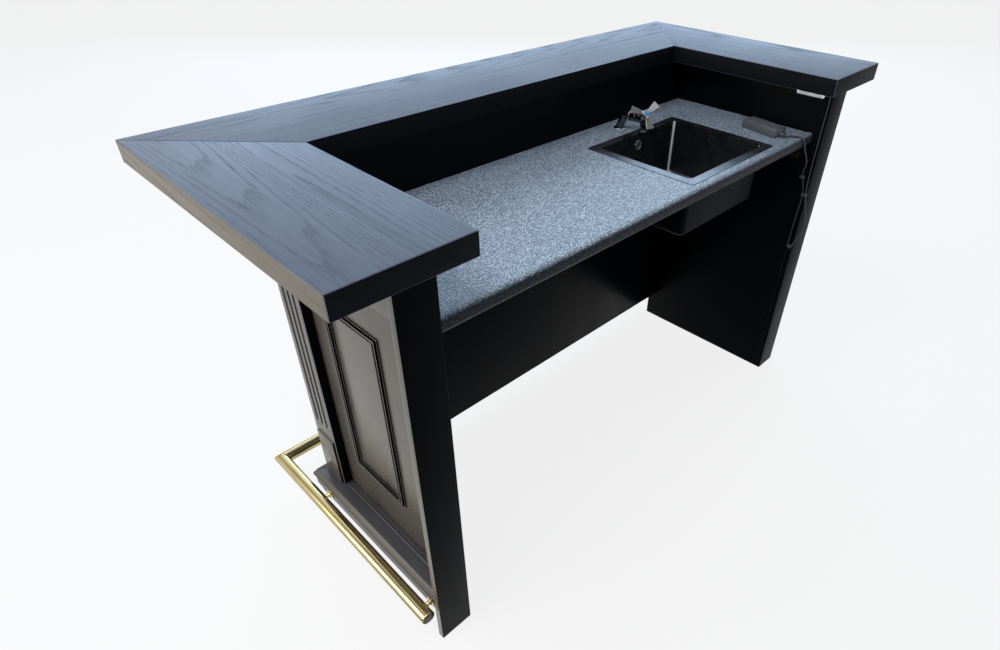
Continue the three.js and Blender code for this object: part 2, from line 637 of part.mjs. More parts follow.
const tap = () => {
  const z = TAP_AXIS_Z;
  const foot = WORK_TOP + TAP_FLANGE_THICK;
  const elbow = [SINK_X, TAP_Y - TAP_LEAN, z];
  const union = [SINK_X, UNION_Y, z];
  const valve = [SINK_X, VALVE_Y, z];
  const tip = z - TAP_SPOUT_DROP;
  const flange = turned([
    [0, 0], [TAP_FLANGE, 0], [TAP_FLANGE, TAP_FLANGE_THICK - TAP_FLANGE_EDGE],
    [TAP_FLANGE - TAP_FLANGE_EDGE, TAP_FLANGE_THICK], [0, TAP_FLANGE_THICK],
  ]).translate(SINK_X, TAP_Y, WORK_TOP);
  add('tap_pillar', join(flange,
    rod(TAP_COLUMN, [SINK_X, TAP_Y, foot], elbow),
    ball(TAP_COLUMN, ...elbow),
    rod(TAP_COLUMN, elbow, union),
    rod(TAP_COLUMN + UNION_SWELL, [SINK_X, UNION_Y + UNION_LENGTH, z], union),
    rod(TAP_TAIL_RADIUS, [SINK_X, TAP_Y, foot], [SINK_X, TAP_Y, WORK_TOP - TAP_TAIL])), DARK_CHROME);
  const nutFoot = WORK_UNDER - TAP_NUT_THICK;
  const nut = rod(TAP_NUT_RADIUS, [SINK_X, TAP_Y, WORK_UNDER], [SINK_X, TAP_Y, nutFoot], 6);
  const thread = rod(TAP_TAIL_RADIUS + TURN_GAP,
    [SINK_X, TAP_Y, WORK_UNDER + CUT_OVER], [SINK_X, TAP_Y, nutFoot - CUT_OVER]);
  add('tap_back_nut', cut(nut, thread), BRIGHT);
  const tilt = radians(TAP_TILT);
  const swing = radians(TAP_SWING);
  const way = new THREE.Vector3(-Math.sin(swing) * Math.cos(tilt), -Math.cos(swing) * Math.cos(tilt), Math.sin(tilt));
  const side = new THREE.Vector3(Math.cos(swing), -Math.sin(swing), 0);
  const up = way.clone().cross(side);
  const out = (s) => way.clone().multiplyScalar(s).add(new THREE.Vector3(...valve)).toArray();
  add('tap_body', join(
    rod(TAP_BODY_RADIUS, union, valve),
    ball(TAP_BODY_RADIUS + UNION_SWELL, ...valve),
    rod(TAP_SPOUT_RADIUS, valve, [SINK_X, VALVE_Y, tip]),
    rod(TAP_SPOUT_RADIUS + NOZZLE_SWELL, [SINK_X, VALVE_Y, tip + NOZZLE_LENGTH], [SINK_X, VALVE_Y, tip]),
    rod(BONNET_RADIUS, out(0), out(BONNET_LENGTH))), DARK_CHROME);
  const base = BONNET_LENGTH + TURN_GAP;
  const spokes = [0, 1, 2].map((i) => radians(PADDLE_TURN + 120 * i));
  const hub = plan(spokes.map((a) => [HUB_RADIUS * Math.cos(a), HUB_RADIUS * Math.sin(a)]), 0, HUB_THICK);
  const paddles = spokes.map((a) => plan([
    [0, -PADDLE_ROOT], [PADDLE_REACH, -PADDLE_END], [PADDLE_REACH, PADDLE_END], [0, PADDLE_ROOT],
  ], PADDLE_SETBACK, HUB_THICK - PADDLE_SETBACK).rotateZ(a));
  const handle = join(hub, ...paddles);
  handle.applyMatrix4(new THREE.Matrix4().makeBasis(side, up, way)).translate(...out(base));
  add('tap_handle', handle, DARK_CHROME);
  const dot = base + HUB_THICK + TURN_GAP;
  add('tap_handle_cap', rod(CAP_DOT_RADIUS, out(dot), out(dot + CAP_DOT_THICK)), BLUE);
};

const leadRoute = () => {
  const off = LEAD_RADIUS + LEAD_LIFT;
  const wall = X_IN - off;
  const onTop = WORK_TOP + off;
  const ceiling = UNDER - off;
  const turn = radians(DRIVER_TURN);
  const exit = (s) => [DRIVER_X + s * Math.sin(turn), DRIVER_Y - s * Math.cos(turn)];
  const [startX, startY] = exit(DRIVER_LENGTH / 2 + LEAD_LIFT);
  const across = (share) => startX + share * (wall - startX);
  const bend = WORK_ROUND + off;
  const turnAt = Y_WORK + WORK_ROUND;
  const overEdge = [90, 112, 134, 156, 178].map((degrees, i) => [
    across(0.31 + 0.045 * i), turnAt + bend * Math.cos(radians(degrees)),
    WORK_TOP - WORK_ROUND + bend * Math.sin(radians(degrees))]);
  const line = Y_END + LEAD_LINE;
  const meet = Y_END + LEAD_MEET;
  const half = (LEAD_TOP + LEAD_FOOT) / 2;
  const above = WORK_UNDER - LEAD_MEET_DROP;
  const led = LED_X + LED_WIDE + LEAD_RADIUS / 2;
  const toLed = (share) => wall + share * (led - wall);
  return new THREE.CatmullRomCurve3([
    [startX, startY, WORK_TOP + LEAD_EXIT],
    [...exit(DRIVER_LENGTH / 2 + LEAD_STUB), onTop + LEAD_SAG],
    [across(0.22), turnAt + LEAD_STUB, onTop + LEAD_LIFT],
    ...overEdge,
    [across(0.58), Y_WORK - 2 * off, WORK_UNDER],
    [across(0.89), meet - 2 * off, WORK_UNDER - 0.57 * LEAD_MEET_DROP],
    [across(0.965), meet - off, WORK_UNDER - 0.79 * LEAD_MEET_DROP],
    [wall - LEAD_LIFT, meet, above],
    [wall, meet - LEAD_RADIUS, above - LEAD_TURN],
    [wall, line + LEAD_PAIR, LEAD_TOP],
    [wall, line + LEAD_PAIR + LEAD_RADIUS, half],
    [wall, line + LEAD_PAIR + LEAD_RADIUS, LEAD_FOOT + LEAD_TURN],
    [wall, line + LEAD_RADIUS, LEAD_FOOT],
    [wall, line - LEAD_PAIR, LEAD_FOOT + LEAD_TURN],
    [wall, line - LEAD_PAIR - LEAD_SPREAD, half],
    [wall, line - LEAD_PAIR, LEAD_TOP],
    [wall, line, above],
    [wall, line, WORK_TOP],
    [wall, line, ceiling - LEAD_CROWN],
    [toLed(0.02), line, ceiling - 0.5 * LEAD_CROWN],
    [toLed(0.1), line, ceiling - 0.2 * LEAD_CROWN],
    [toLed(0.28), line, ceiling - 0.05 * LEAD_CROWN],
    [toLed(0.58), line + LEAD_RADIUS, ceiling],
    [led, line + LEAD_PAIR, ceiling],
  ].map((point) => new THREE.Vector3(...point)), false, 'centripetal');
};

const cord = (radius) => {
  const sides = 8;
  const shape = new THREE.Shape(Array.from({ length: sides }, (_, i) => {
    const angle = 2 * Math.PI * i / sides;
    return new THREE.Vector2(radius * Math.cos(angle), radius * Math.sin(angle));
  }));
  return new THREE.ExtrudeGeometry(shape, { steps: 150, extrudePath: leadRoute(), bevelEnabled: false });
};

const lighting = () => {
  const y0 = Y_REAR + LED_END;
  add('led_bar', box(LED_X, LED_X + LED_WIDE, y0, y0 + LED_LENGTH, UNDER - LED_THICK, UNDER), LIGHT);
  const r = DRIVER_ROUND;
  const shape = new THREE.Shape([
    [-1, -1], [1, -1], [1, 1], [-1, 1],
  ].map(([sx, sy]) => new THREE.Vector2(sx * (DRIVER_WIDE / 2 - r), sy * (DRIVER_LENGTH / 2 - r))));
  const casing = new THREE.ExtrudeGeometry(shape, {
    depth: DRIVER_HIGH - r, bevelEnabled: true, bevelSize: r, bevelThickness: r, bevelSegments: 2,
  });
  const slice = box(-DRIVER_WIDE, DRIVER_WIDE, -DRIVER_LENGTH, DRIVER_LENGTH, -2 * r, 0);
  add('led_driver', cut(casing, slice).rotateZ(radians(DRIVER_TURN))
    .translate(DRIVER_X, DRIVER_Y, WORK_TOP), CASE);
  add('led_lead', cord(LEAD_RADIUS), CABLE);
  const fat = cord(LEAD_RADIUS + CLIP_CLEAR);
  const half = CLIP_SIZE / 2;
  [
    [Y_END + LEAD_MEET, WORK_UNDER - LEAD_MEET_DROP - LEAD_TURN],
    [Y_END + LEAD_LINE, LEAD_TOP],
    [Y_END + LEAD_LINE + LEAD_RADIUS, LEAD_FOOT + LEAD_TURN - LEAD_PAIR],
  ].forEach(([y, z], i) => {
    const clip = box(X_IN - CLIP_HIGH, X_IN, y - half, y + half, z - half / 2, z + half / 2);
    add(`lead_clip_${i + 1}`, cut(clip, fat), CASE);
  });
};

barTop();
walls();
pilasters();
beads();
plinth();
rail();
brackets();
worktop();
sink();
tap();
lighting();

export default group;
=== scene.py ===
import json
import math

import bpy
from bpy.props import FloatProperty, FloatVectorProperty, IntProperty, PointerProperty
from mathutils import Matrix, Vector


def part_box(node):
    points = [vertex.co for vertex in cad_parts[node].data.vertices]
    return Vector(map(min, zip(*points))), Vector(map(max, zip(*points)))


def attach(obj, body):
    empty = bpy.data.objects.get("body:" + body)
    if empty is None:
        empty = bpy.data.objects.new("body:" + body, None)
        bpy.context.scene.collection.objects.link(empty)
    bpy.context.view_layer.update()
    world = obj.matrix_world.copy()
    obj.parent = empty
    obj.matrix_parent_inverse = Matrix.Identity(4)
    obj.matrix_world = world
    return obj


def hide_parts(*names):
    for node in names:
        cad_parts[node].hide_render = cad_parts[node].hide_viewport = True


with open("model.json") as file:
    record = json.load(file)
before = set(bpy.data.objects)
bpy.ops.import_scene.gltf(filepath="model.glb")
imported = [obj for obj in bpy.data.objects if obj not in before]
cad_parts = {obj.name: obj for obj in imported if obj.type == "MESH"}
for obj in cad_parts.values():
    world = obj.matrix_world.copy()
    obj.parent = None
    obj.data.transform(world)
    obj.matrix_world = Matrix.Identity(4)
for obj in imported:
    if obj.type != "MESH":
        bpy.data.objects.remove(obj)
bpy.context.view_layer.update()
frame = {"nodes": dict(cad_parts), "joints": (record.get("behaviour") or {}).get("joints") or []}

bl_info = {
    "name": "Bar counter with sink",
    "version": (1, 0, 0),
    "blender": (4, 5, 0),
    "location": "View3D > Sidebar > Bar counter",
    "description": "Dresses the bar counter's frame with finished pieces and materials",
    "category": "Object",
}

# The bodies that pieces ride on
BODY = "counter"
HANDLE = "tap_handle"
STRAINER = "sink_strainer"

# The camera that took the photograph: its axes and place in the counter's frame, and its lens in millimetres
CAMERA_RIGHT = (0.704198, -0.709881, 0.013231)
CAMERA_DOWN = (-0.420944, -0.432436, -0.797374)
CAMERA_AHEAD = (0.571762, 0.555939, -0.603341)
CAMERA_PLACE = (-1.27193, -1.16069, 1.58267)
CAMERA_NEAR = 0.05
SENSOR_WIDE = 36.0
LENS = 23.1033
LENS_SHIFT = (-0.04263, 0.0208)

# The lamps by name: place, size, power and colour. All of them look at one spot
LAMPS = {
    "sky_panel": ((3.4, 3.6, 2.9), (7.5, 4.4), 250, (0.44, 0.71, 1.0)),
    "key_panel": ((-2.4, 0.2, 4.4), (2.0, 2.0), 85, (0.95, 0.97, 1.0)),
    "side_panel": ((-4.4, 1.2, 1.4), (3.0, 2.2), 106, (1.0, 0.93, 0.83)),
}
LAMP_TARGET = (0.0, 0.0, 0.9)

# Floor and background
FLOOR_SIZE = 60
FLOOR_TONES = ((0.74, 0.74, 0.74, 1), (0.78, 0.78, 0.78, 1))
FLOOR_GLOW = 0.84
WHITE = (1, 1, 1, 1)
SKY_TONE = (0.86, 0.92, 1.0, 1)
SKY_LEVEL = 0.3

# Directions, and how far a normal has to agree with one to look that way or to face it squarely
LEFT = Vector((-1, 0, 0))
RIGHT = Vector((1, 0, 0))
FRONT = Vector((0, 1, 0))
REAR = Vector((0, -1, 0))
UP = Vector((0, 0, 1))
DOWN = Vector((0, 0, -1))
LOOKING = 0.8
FACING = 0.9

# Working tolerances
NEAR = 0.0001
MERGE = 0.00001
FLAT_DEGREES = 0.5

# How far below the worktop's top the painted shade on its edge starts, and over what height it fades in
EDGE_SHADE_DEPTH = 0.002
EDGE_SHADE_FADE = 0.006

# A Mix node's colour sockets, which share their names with its other sockets
MIX_SHARE = 0
MIX_FIRST = 6
MIX_SECOND = 7
MIX_RESULT = 2


class Sock:
    """A socket that adds Math nodes when it is used in an expression."""

    def __init__(self, kit, socket):
        self.kit = kit
        self.socket = socket

    def _math(self, operation, first, second):
        return self.kit.make("ShaderNodeMath", {"operation": operation}, {0: first, 1: second})

    def __add__(self, other):
        return self._math("ADD", self, other)

    def __radd__(self, other):
        return self._math("ADD", other, self)

    def __sub__(self, other):
        return self._math("SUBTRACT", self, other)

    def __rsub__(self, other):
        return self._math("SUBTRACT", other, self)

    def __mul__(self, other):
        return self._math("MULTIPLY", self, other)

    def __rmul__(self, other):
        return self._math("MULTIPLY", other, self)


class Kit:
    """Builds the nodes of one material, or of the world."""

    def __init__(self, owner, output="ShaderNodeOutputMaterial"):
        owner.use_nodes = True
        self.owner = owner
        self.tree = owner.node_tree
        self.tree.nodes.clear()
        self.output = self.tree.nodes.new(output)

    def make(self, kind, settings=None, inputs=None, out=0):
        """Any node, from its type, its settings and the values or links of its sockets."""
        node = self.tree.nodes.new(kind)
        for key, value in (settings or {}).items():
            setattr(node, key, value)
        for key, value in (inputs or {}).items():
            if isinstance(value, Sock):
                self.tree.links.new(value.socket, node.inputs[key])
            else:
                node.inputs[key].default_value = value
        return Sock(self, node.outputs[out])

    def place(self, scale=(1, 1, 1), shift=(0, 0, 0)):
        coords = self.make("ShaderNodeTexCoord", None, None, "Object")
        return self.make("ShaderNodeMapping", None, {"Vector": coords, "Scale": scale, "Location": shift})

    def noise(self, vector, scale, detail, rough=0.5, distort=0.0):
        return self.make("ShaderNodeTexNoise", None, {
            "Vector": vector, "Scale": scale, "Detail": detail, "Roughness": rough,
            "Distortion": distort}, "Fac")

    def grey(self, value, low, high, to_low=0.0, to_high=1.0):
        return self.make("ShaderNodeMapRange", None, {
            "Value": value, "From Min": low, "From Max": high, "To Min": to_low, "To Max": to_high})

    def mix(self, share, first, second):
        return self.make("ShaderNodeMix", {"data_type": "RGBA"}, {
            MIX_SHARE: share, MIX_FIRST: first, MIX_SECOND: second}, MIX_RESULT)

    def bump(self, height, strength, distance):
        return self.make("ShaderNodeBump", None, {
            "Height": height, "Strength": strength, "Distance": distance})

    def seen(self):
        """One where the camera looks straight, in a mirror or through glass, and nought for other rays."""
        straight = self.make("ShaderNodeLightPath", None, None, "Is Camera Ray")
        mirrored = self.make("ShaderNodeLightPath", None, None, "Is Glossy Ray")
        through = self.make("ShaderNodeLightPath", None, None, "Is Transmission Ray")
        return self.make("ShaderNodeMath", {"operation": "ADD", "use_clamp": True}, {
            0: straight + mirrored, 1: through})

    def surface(self, shader):
        self.tree.links.new(shader.socket, self.output.inputs["Surface"])
        return self.owner

    def finish(self, **sockets):
        return self.surface(self.make("ShaderNodeBsdfPrincipled", None, {
            key.replace("_", " "): value for key, value in sockets.items()}))


def paint(name):
    return Kit(bpy.data.materials.new(name))


def rgba(colour, gain=1.0):
    return (*[min(1.0, c * gain) for c in colour[:3]], 1.0)


def darker(colour, share):
    return [c * share for c in colour]


def black_oak(name, colour, along_y, shift, ior=1.3):
    """Stained oak with its pores, growth rings and streaks along the board."""
    kit = paint(name)

    def stretched(along, across):
        return kit.place((across, along, across) if along_y else (along, across, across), shift)

    pores = kit.noise(stretched(along=16.0, across=900.0), scale=1.0, detail=2.0, rough=0.55)
    streaks = kit.noise(stretched(along=1.2, across=60.0), scale=1.0, detail=4.0, rough=0.6, distort=0.2)
    sway = kit.noise(stretched(along=0.22, across=5.2), scale=1.0, detail=1.5, rough=0.4, distort=0.12)
    blotch = kit.noise(kit.place(shift=shift), scale=3.0, detail=3.0)
    ring_count = 58.0
    rings = kit.make("ShaderNodeMath", {"operation": "FRACT"}, {0: sway * ring_count})
    late = kit.grey(rings, low=0.55, high=0.98)
    early = kit.grey(pores, low=0.40, high=0.64) * (0.10 + late * 0.90)
    tone = kit.mix(kit.grey(streaks, low=0.30, high=0.72), rgba(colour, 0.88), rgba(colour, 1.12))
    tone = kit.mix(early * 0.7, tone, rgba(colour, 0.35))
    rough = 0.42 + early * 0.3 + kit.grey(blotch, low=0.3, high=0.8, to_high=0.08)
    height = 1.0 - early + kit.grey(streaks, low=0.3, high=0.7, to_high=0.15)
    return kit.finish(Base_Color=tone, Roughness=rough, IOR=ior,
                      Normal=kit.bump(height, strength=0.5, distance=0.0007))


def black_lacquer(name, colour, ior, sheen):
    """Sprayed lacquer with a faint peel, smears and a little dust."""
    kit = paint(name)
    flat = kit.place()
    peel = kit.noise(flat, scale=260.0, detail=2.0)
    smear = kit.noise(kit.place(scale=(3, 3, 0.9)), scale=3.5, detail=4.0, rough=0.6)
    dust = kit.noise(flat, scale=700.0, detail=1.0)
    tone = kit.mix(kit.grey(smear, low=0.35, high=0.75), rgba(colour, 0.9), rgba(colour, 1.15))
    tone = kit.mix(kit.grey(dust, low=0.72, high=0.84, to_high=0.35), tone, rgba(colour, 6.0))
    rough = sheen + kit.grey(smear, low=0.3, high=0.8, to_high=0.14)
    return kit.finish(Base_Color=tone, Roughness=rough, IOR=ior,
                      Normal=kit.bump(peel, strength=0.02, distance=0.0003))


def stained_timber(name, colour):
    """Rough dark timber for the battens."""
    kit = paint(name)
    grain = kit.noise(kit.place(scale=(8, 8, 60)), scale=3.0, detail=5.0, rough=0.6, distort=0.4)
    tone = kit.mix(kit.grey(grain, low=0.35, high=0.7), rgba(colour, 0.6), rgba(colour, 1.4))
    return kit.finish(Base_Color=tone, Roughness=grain * 0.2 + 0.55, IOR=1.15,
                      Normal=kit.bump(grain, strength=0.3, distance=0.0008))


def stone_laminate(name, colour, edge_shade_top, ior=1.5):
    """Speckled laminate with painted shade that turns its front edge near-black below a given height."""
    kit = paint(name)
    flat = kit.place()
    cloud = kit.noise(flat, scale=7.0, detail=4.0, rough=0.6)
    grit = kit.noise(flat, scale=760.0, detail=2.0, rough=0.6)
    chips = kit.make("ShaderNodeTexVoronoi", {"feature": "F1"}, {
        "Vector": flat, "Scale": 500.0, "Randomness": 1.0}, "Color")
    pick = kit.make("ShaderNodeSeparateColor", None, {"Color": chips})
    tone = kit.mix(kit.grey(cloud, low=0.3, high=0.7), rgba(colour, 0.9), rgba(colour, 1.08))
    tone = kit.mix(kit.grey(grit, low=0.42, high=0.60, to_high=0.8), tone, rgba(colour, 0.35))
    tone = kit.mix(kit.grey(pick, low=0.78, high=0.84, to_high=0.8), tone, rgba(colour, 2.6))
    tone = kit.mix(kit.grey(pick, low=0.26, high=0.18, to_high=0.85), tone, rgba(colour, 0.1))
    height = kit.make("ShaderNodeSeparateXYZ", None, {"Vector": flat}, "Z")
    # Painted shade: below this height the laminate fades to near-black
    below = kit.grey(height, low=edge_shade_top, high=edge_shade_top - EDGE_SHADE_FADE, to_high=0.92)
    tone = kit.mix(below, tone, rgba(colour, 0.04))
    return kit.finish(Base_Color=tone, Roughness=0.34 + grit * 0.16, IOR=ior,
                      Normal=kit.bump(grit, strength=0.12, distance=0.0004))


def worn_metal(name, colour, polish, stretch, grain, stain, metal=1.0):
    """Metal with brush marks and cloudy stains."""
    kit = paint(name)
    brush = kit.noise(kit.place(scale=stretch), scale=1.0, detail=3.0, rough=0.6)
    cloud = kit.noise(kit.place(), scale=14.0, detail=5.0, rough=0.65)
    tone = kit.mix(kit.grey(cloud, low=0.42, high=0.75, to_high=stain), rgba(colour), rgba(colour, 0.55))
    rough = polish + brush * grain + kit.grey(cloud, low=0.4, high=0.8, to_high=0.12)
    return kit.finish(Base_Color=tone, Metallic=metal, Roughness=rough,
                      Normal=kit.bump(brush, strength=0.05, distance=0.0003))


def rail_brass(name, colour, along_y):
    """Polished brass with streaks along the tube."""
    kit = paint(name)
    stretch = (150, 1.2, 150) if along_y else (1.2, 150, 150)
    streak = kit.noise(kit.place(scale=stretch), scale=1.0, detail=3.0, rough=0.6)
    cloud = kit.noise(kit.place(), scale=22.0, detail=4.0, rough=0.6)
    tone = kit.mix(kit.grey(streak, low=0.42, high=0.62), rgba(colour, 0.5), rgba(colour, 1.25))
    tone = kit.mix(kit.grey(cloud, low=0.5, high=0.8, to_high=0.35), tone, rgba(colour, 0.4))
    rough = 0.1 + kit.grey(streak, low=0.3, high=0.7, to_high=0.1)
    return kit.finish(Base_Color=tone, Metallic=1.0, Roughness=rough,
                      Normal=kit.bump(streak, strength=0.02, distance=0.0002))


def moulded_plastic(name, colour, rough, pit=420.0):
    """Moulded plastic with fine pits."""
    kit = paint(name)
    pits = kit.noise(kit.place(), scale=pit, detail=2.0, rough=0.6)
    cloud = kit.noise(kit.place(), scale=25.0, detail=3.0, rough=0.55)
    tone = kit.mix(kit.grey(cloud, low=0.35, high=0.75), rgba(colour, 0.86), rgba(colour, 1.14))
    return kit.finish(Base_Color=tone, Roughness=pits * 0.14 + (rough - 0.05), IOR=1.48,
                      Normal=kit.bump(pits, strength=0.12, distance=0.0003))


def strainer_metal(name, colour):
    """Pressed steel with a pattern of small holes, drawn as near-black dots of painted shade."""
    kit = paint(name)
    dots = kit.make("ShaderNodeTexVoronoi", {"feature": "F1"}, {
        "Vector": kit.place(), "Scale": 150.0, "Randomness": 0.1}, "Distance")
    hole_shade = kit.grey(dots, low=0.42, high=0.3)
    tone = kit.mix(hole_shade, rgba(colour), rgba((0.02, 0.02, 0.02)))
    return kit.finish(Base_Color=tone, Metallic=1.0, Roughness=hole_shade * 0.4 + 0.2,
                      Normal=kit.bump(hole_shade, strength=0.4, distance=0.001))


class Finishes:
    """Every finish on the counter, made once."""

    made = {}

    @classmethod
    def get(cls, name):
        if not cls.made:
            cls._make(bpy.context.scene.bar_finishes)
        return cls.made[name]

    @classmethod
    def _make(cls, p):
        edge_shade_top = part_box("worktop")[1][2] - EDGE_SHADE_DEPTH
        upright = (40, 40, 400)
        even = (120, 120, 120)
        cls.made = {
            # The boards' colour carries a painted sky reflection over the black stain
            "oak_front": black_oak("black_oak_front", p.oak, along_y=False, shift=(0.37, 0.11, 0.0)),
            "oak_left": black_oak("black_oak_left", p.oak, along_y=True, shift=(1.90, 0.73, 0.0)),
            "oak_right": black_oak("black_oak_right", p.oak, along_y=True, shift=(3.30, 2.41, 0.0)),
            # Painted shade: a near-black copy of the oak for the board edges that look to the serving side
            "oak_shaded_edge": black_oak(
                "black_oak_painted_shade_edges", darker(p.oak, 0.05), along_y=True, shift=(0.9, 1.7, 0.2), ior=1.12),
            # Painted light: a lighter brown copy of the oak for the outer edges, standing in for lit ground
            # seen in them
            "oak_lit_side": black_oak(
                "black_oak_painted_light_sides", (0.15, 0.135, 0.112), along_y=True, shift=(0.4, 2.1, 0.6)),
            # Painted light: the lacquer's colour is lifted to brown-grey, a painted reflection of lit ground
            "lacquer": black_lacquer("black_lacquer", p.lacquer, ior=1.6, sheen=0.24),
            # Painted light: a duller copy of the lifted lacquer, so its brown-grey shows on the plinth as lit
            # faces
            "lit_skirt": black_lacquer("black_lacquer_plinth_painted_light", p.lacquer, ior=1.4, sheen=0.3),
            # Painted shade: a darker, cooler lacquer for the plinth caps' tops under the overhang
            "shade": black_lacquer("black_lacquer_ledge_painted_shade", (0.066, 0.064, 0.072), ior=1.4, sheen=0.3),
            # Painted shade: a dull near-black copy of the lacquer for faces where shade falls
            "shaded_satin": black_lacquer("black_satin_painted_shade", p.shaded_satin, ior=1.09, sheen=0.3),
            "timber": stained_timber("stained_timber", (0.010, 0.009, 0.008)),
            "laminate": stone_laminate("stone_laminate", p.laminate, edge_shade_top),
            "laminate_shaded_edge": stone_laminate("stone_laminate_shaded_edge", p.laminate, edge_shade_top, ior=1.15),
            "sink": worn_metal(
                "gunmetal_sink", p.sink, polish=0.22, stretch=(420, 420, 14), grain=0.06, stain=0.3),
            "bright": worn_metal(
                "polished_steel", (0.68, 0.69, 0.7), polish=0.12, stretch=upright, grain=0.08, stain=0.25),
            # Painted highlight: a near-white non-metal for the bowl's inner corner fillets
            "fillet_highlight": worn_metal(
                "painted_highlight_fillet", (0.95, 0.95, 0.95), polish=0.2, stretch=upright, grain=0.06, stain=0.1,
                metal=0.0),
            "strainer": strainer_metal("strainer_steel", (0.66, 0.67, 0.68)),
            "brass_y": rail_brass("rail_brass_sides", p.brass, along_y=True),
            "brass_x": rail_brass("rail_brass_front", p.brass, along_y=False),
            # Painted shade: a near-black copy of the brass for the rail caps' faces toward the serving side
            "brass_end_shaded": rail_brass("rail_brass_ends_painted_shade", darker(p.brass, 0.12), along_y=False),
            "chrome": worn_metal(
                "black_chrome", (0.12, 0.122, 0.13), polish=0.1, stretch=even, grain=0.06, stain=0.3),
            # Painted highlight: a lighter copy of the black chrome
            "handle": worn_metal(
                "chrome_painted_highlight", (0.30, 0.31, 0.33), polish=0.18, stretch=even, grain=0.08, stain=0.3),
            "blue": moulded_plastic("blue_cap", p.cap, rough=0.25),
            "case": moulded_plastic("driver_case", (0.085, 0.092, 0.1), rough=0.5),
            "cable": moulded_plastic("dark_sheath", (0.03, 0.031, 0.034), rough=0.5, pit=300.0),
            "white": moulded_plastic("white_diffuser", (0.55, 0.56, 0.57), rough=0.4, pit=200.0),
            "alloy": worn_metal(
                "light_channel", (0.72, 0.73, 0.74), polish=0.25, stretch=(300, 8, 300), grain=0.15,
                stain=0.2),
        }


class BarSizes(bpy.types.PropertyGroup):
    """Sizes of the finishing work, in metres."""

    board_edge: FloatProperty(
        name="Board edge", description="Rounding along the edges of the bar top",
        default=0.003, unit="LENGTH")
    panel_edge: FloatProperty(
        name="Panel edge", description="Rounding along the edges of panels and trim",
        default=0.0012, unit="LENGTH")
    edge_steps: IntProperty(
        name="Edge steps", description="Faces across each rounded edge", default=3)
    paddle: FloatProperty(
        name="Paddle length", description="How far a tap handle paddle stands out from its axis",
        default=0.048, unit="LENGTH")


class BarFinishes(bpy.types.PropertyGroup):
    """Colours of the main finishes."""

    # The bar top's colour is its black stain lifted to blue-grey: a painted sky reflection
    oak: FloatVectorProperty(
        name="Bar top", description="Stain on the bar top boards",
        default=(0.132, 0.160, 0.215), subtype="COLOR")
    # The lacquer's black is lifted to brown-grey as painted light: lit ground reflected in the outer faces
    lacquer: FloatVectorProperty(
        name="Lacquer", description="Lacquer on the outside of the panels, pilasters and plinth",
        default=(0.080, 0.0725, 0.0605), subtype="COLOR")
    # Painted shade: a near-black copy of the lacquer for faces that look to the serving side or inside
    shaded_satin: FloatVectorProperty(
        name="Satin", description="Satin black on the serving side",
        default=(0.0022, 0.0030, 0.0046), subtype="COLOR")
    laminate: FloatVectorProperty(
        name="Worktop", description="Ground colour of the worktop's laminate",
        default=(0.30, 0.36, 0.47), subtype="COLOR")
    sink: FloatVectorProperty(
        name="Sink", description="Metal of the sink bowl",
        default=(0.13, 0.135, 0.145), subtype="COLOR")
    brass: FloatVectorProperty(
        name="Rail", description="Metal of the foot rail",
        default=(0.56, 0.46, 0.23), subtype="COLOR")
    cap: FloatVectorProperty(
        name="Tap cap", description="Plastic cap in the tap handle",
        default=(0.02, 0.30, 0.66), subtype="COLOR")


def to_object():
    bpy.ops.object.mode_set(mode="OBJECT")


def to_edit():
    bpy.ops.object.mode_set(mode="EDIT")


def clear_selection():
    """Goes back to object mode with nothing selected."""
    if bpy.context.object and bpy.context.object.mode != "OBJECT":
        to_object()
    bpy.ops.object.select_all(action="DESELECT")


def only(obj):
    """Selects this object alone and makes it active."""
    clear_selection()
    obj.select_set(True)
    bpy.context.view_layer.objects.active = obj


def freeze():
    """Takes the selected object's place, turn and size into its mesh."""
    bpy.ops.object.transform_apply(location=True, rotation=True, scale=True)


def looking(*ways, least=LOOKING):
    """A test of whether a face looks one of these ways."""
    return lambda face: any(face.normal.dot(way) > least for way in ways)


def above(height):
    """A test of whether an edge's two ends are above a height."""
    return lambda a, b: a.z > height and b.z > height


def second_finish(obj, finish, test):
    """Gives the faces that pass the test another finish."""
    obj.data.materials.append(Finishes.get(finish))
    other = len(obj.data.materials) - 1
    for face in obj.data.polygons:
        if test(face):
            face.material_index = other


def settle(obj, body, finish, *nodes, smooth=30.0):
    """Gives a finished piece its material, shading and body."""
    only(obj)
    freeze()
    bpy.ops.object.shade_smooth_by_angle(angle=math.radians(smooth))
    obj.data.materials.clear()
    obj.data.materials.append(Finishes.get(finish))
    if nodes:
        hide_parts(*nodes)
    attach(obj, body)
    return obj


def start_selecting(obj, kind):
    """Readies a mesh for picking its edges or faces, with none picked yet."""
    only(obj)
    to_edit()
    bpy.ops.mesh.select_mode(type=kind)
    bpy.ops.mesh.select_all(action="DESELECT")
    to_object()


def faces_by(obj, test):
    """Leaves selected, in edit mode, the faces that pass the test."""
    start_selecting(obj, "FACE")
    for face in obj.data.polygons:
        face.select = test(face)
    to_edit()


def round_some(obj, test, width, steps):
    """Rounds the edges that pass the test of their two ends."""
    start_selecting(obj, "EDGE")
    points = obj.data.vertices
    for edge in obj.data.edges:
        edge.select = test(points[edge.vertices[0]].co, points[edge.vertices[1]].co)
    to_edit()
    bpy.ops.mesh.bevel(offset=width, segments=steps)
    to_object()


def round_edges(obj, width, steps=2, limit=30.0):
    """Rounds the edges that turn by more than the limit."""
    only(obj)
    bevel = obj.modifiers.new("rounding", "BEVEL")
    bevel.width = width
    bevel.segments = steps
    bevel.limit_method = "ANGLE"
    bevel.angle_limit = math.radians(limit)
    bevel.use_clamp_overlap = True
    bpy.ops.object.modifier_apply(modifier=bevel.name)


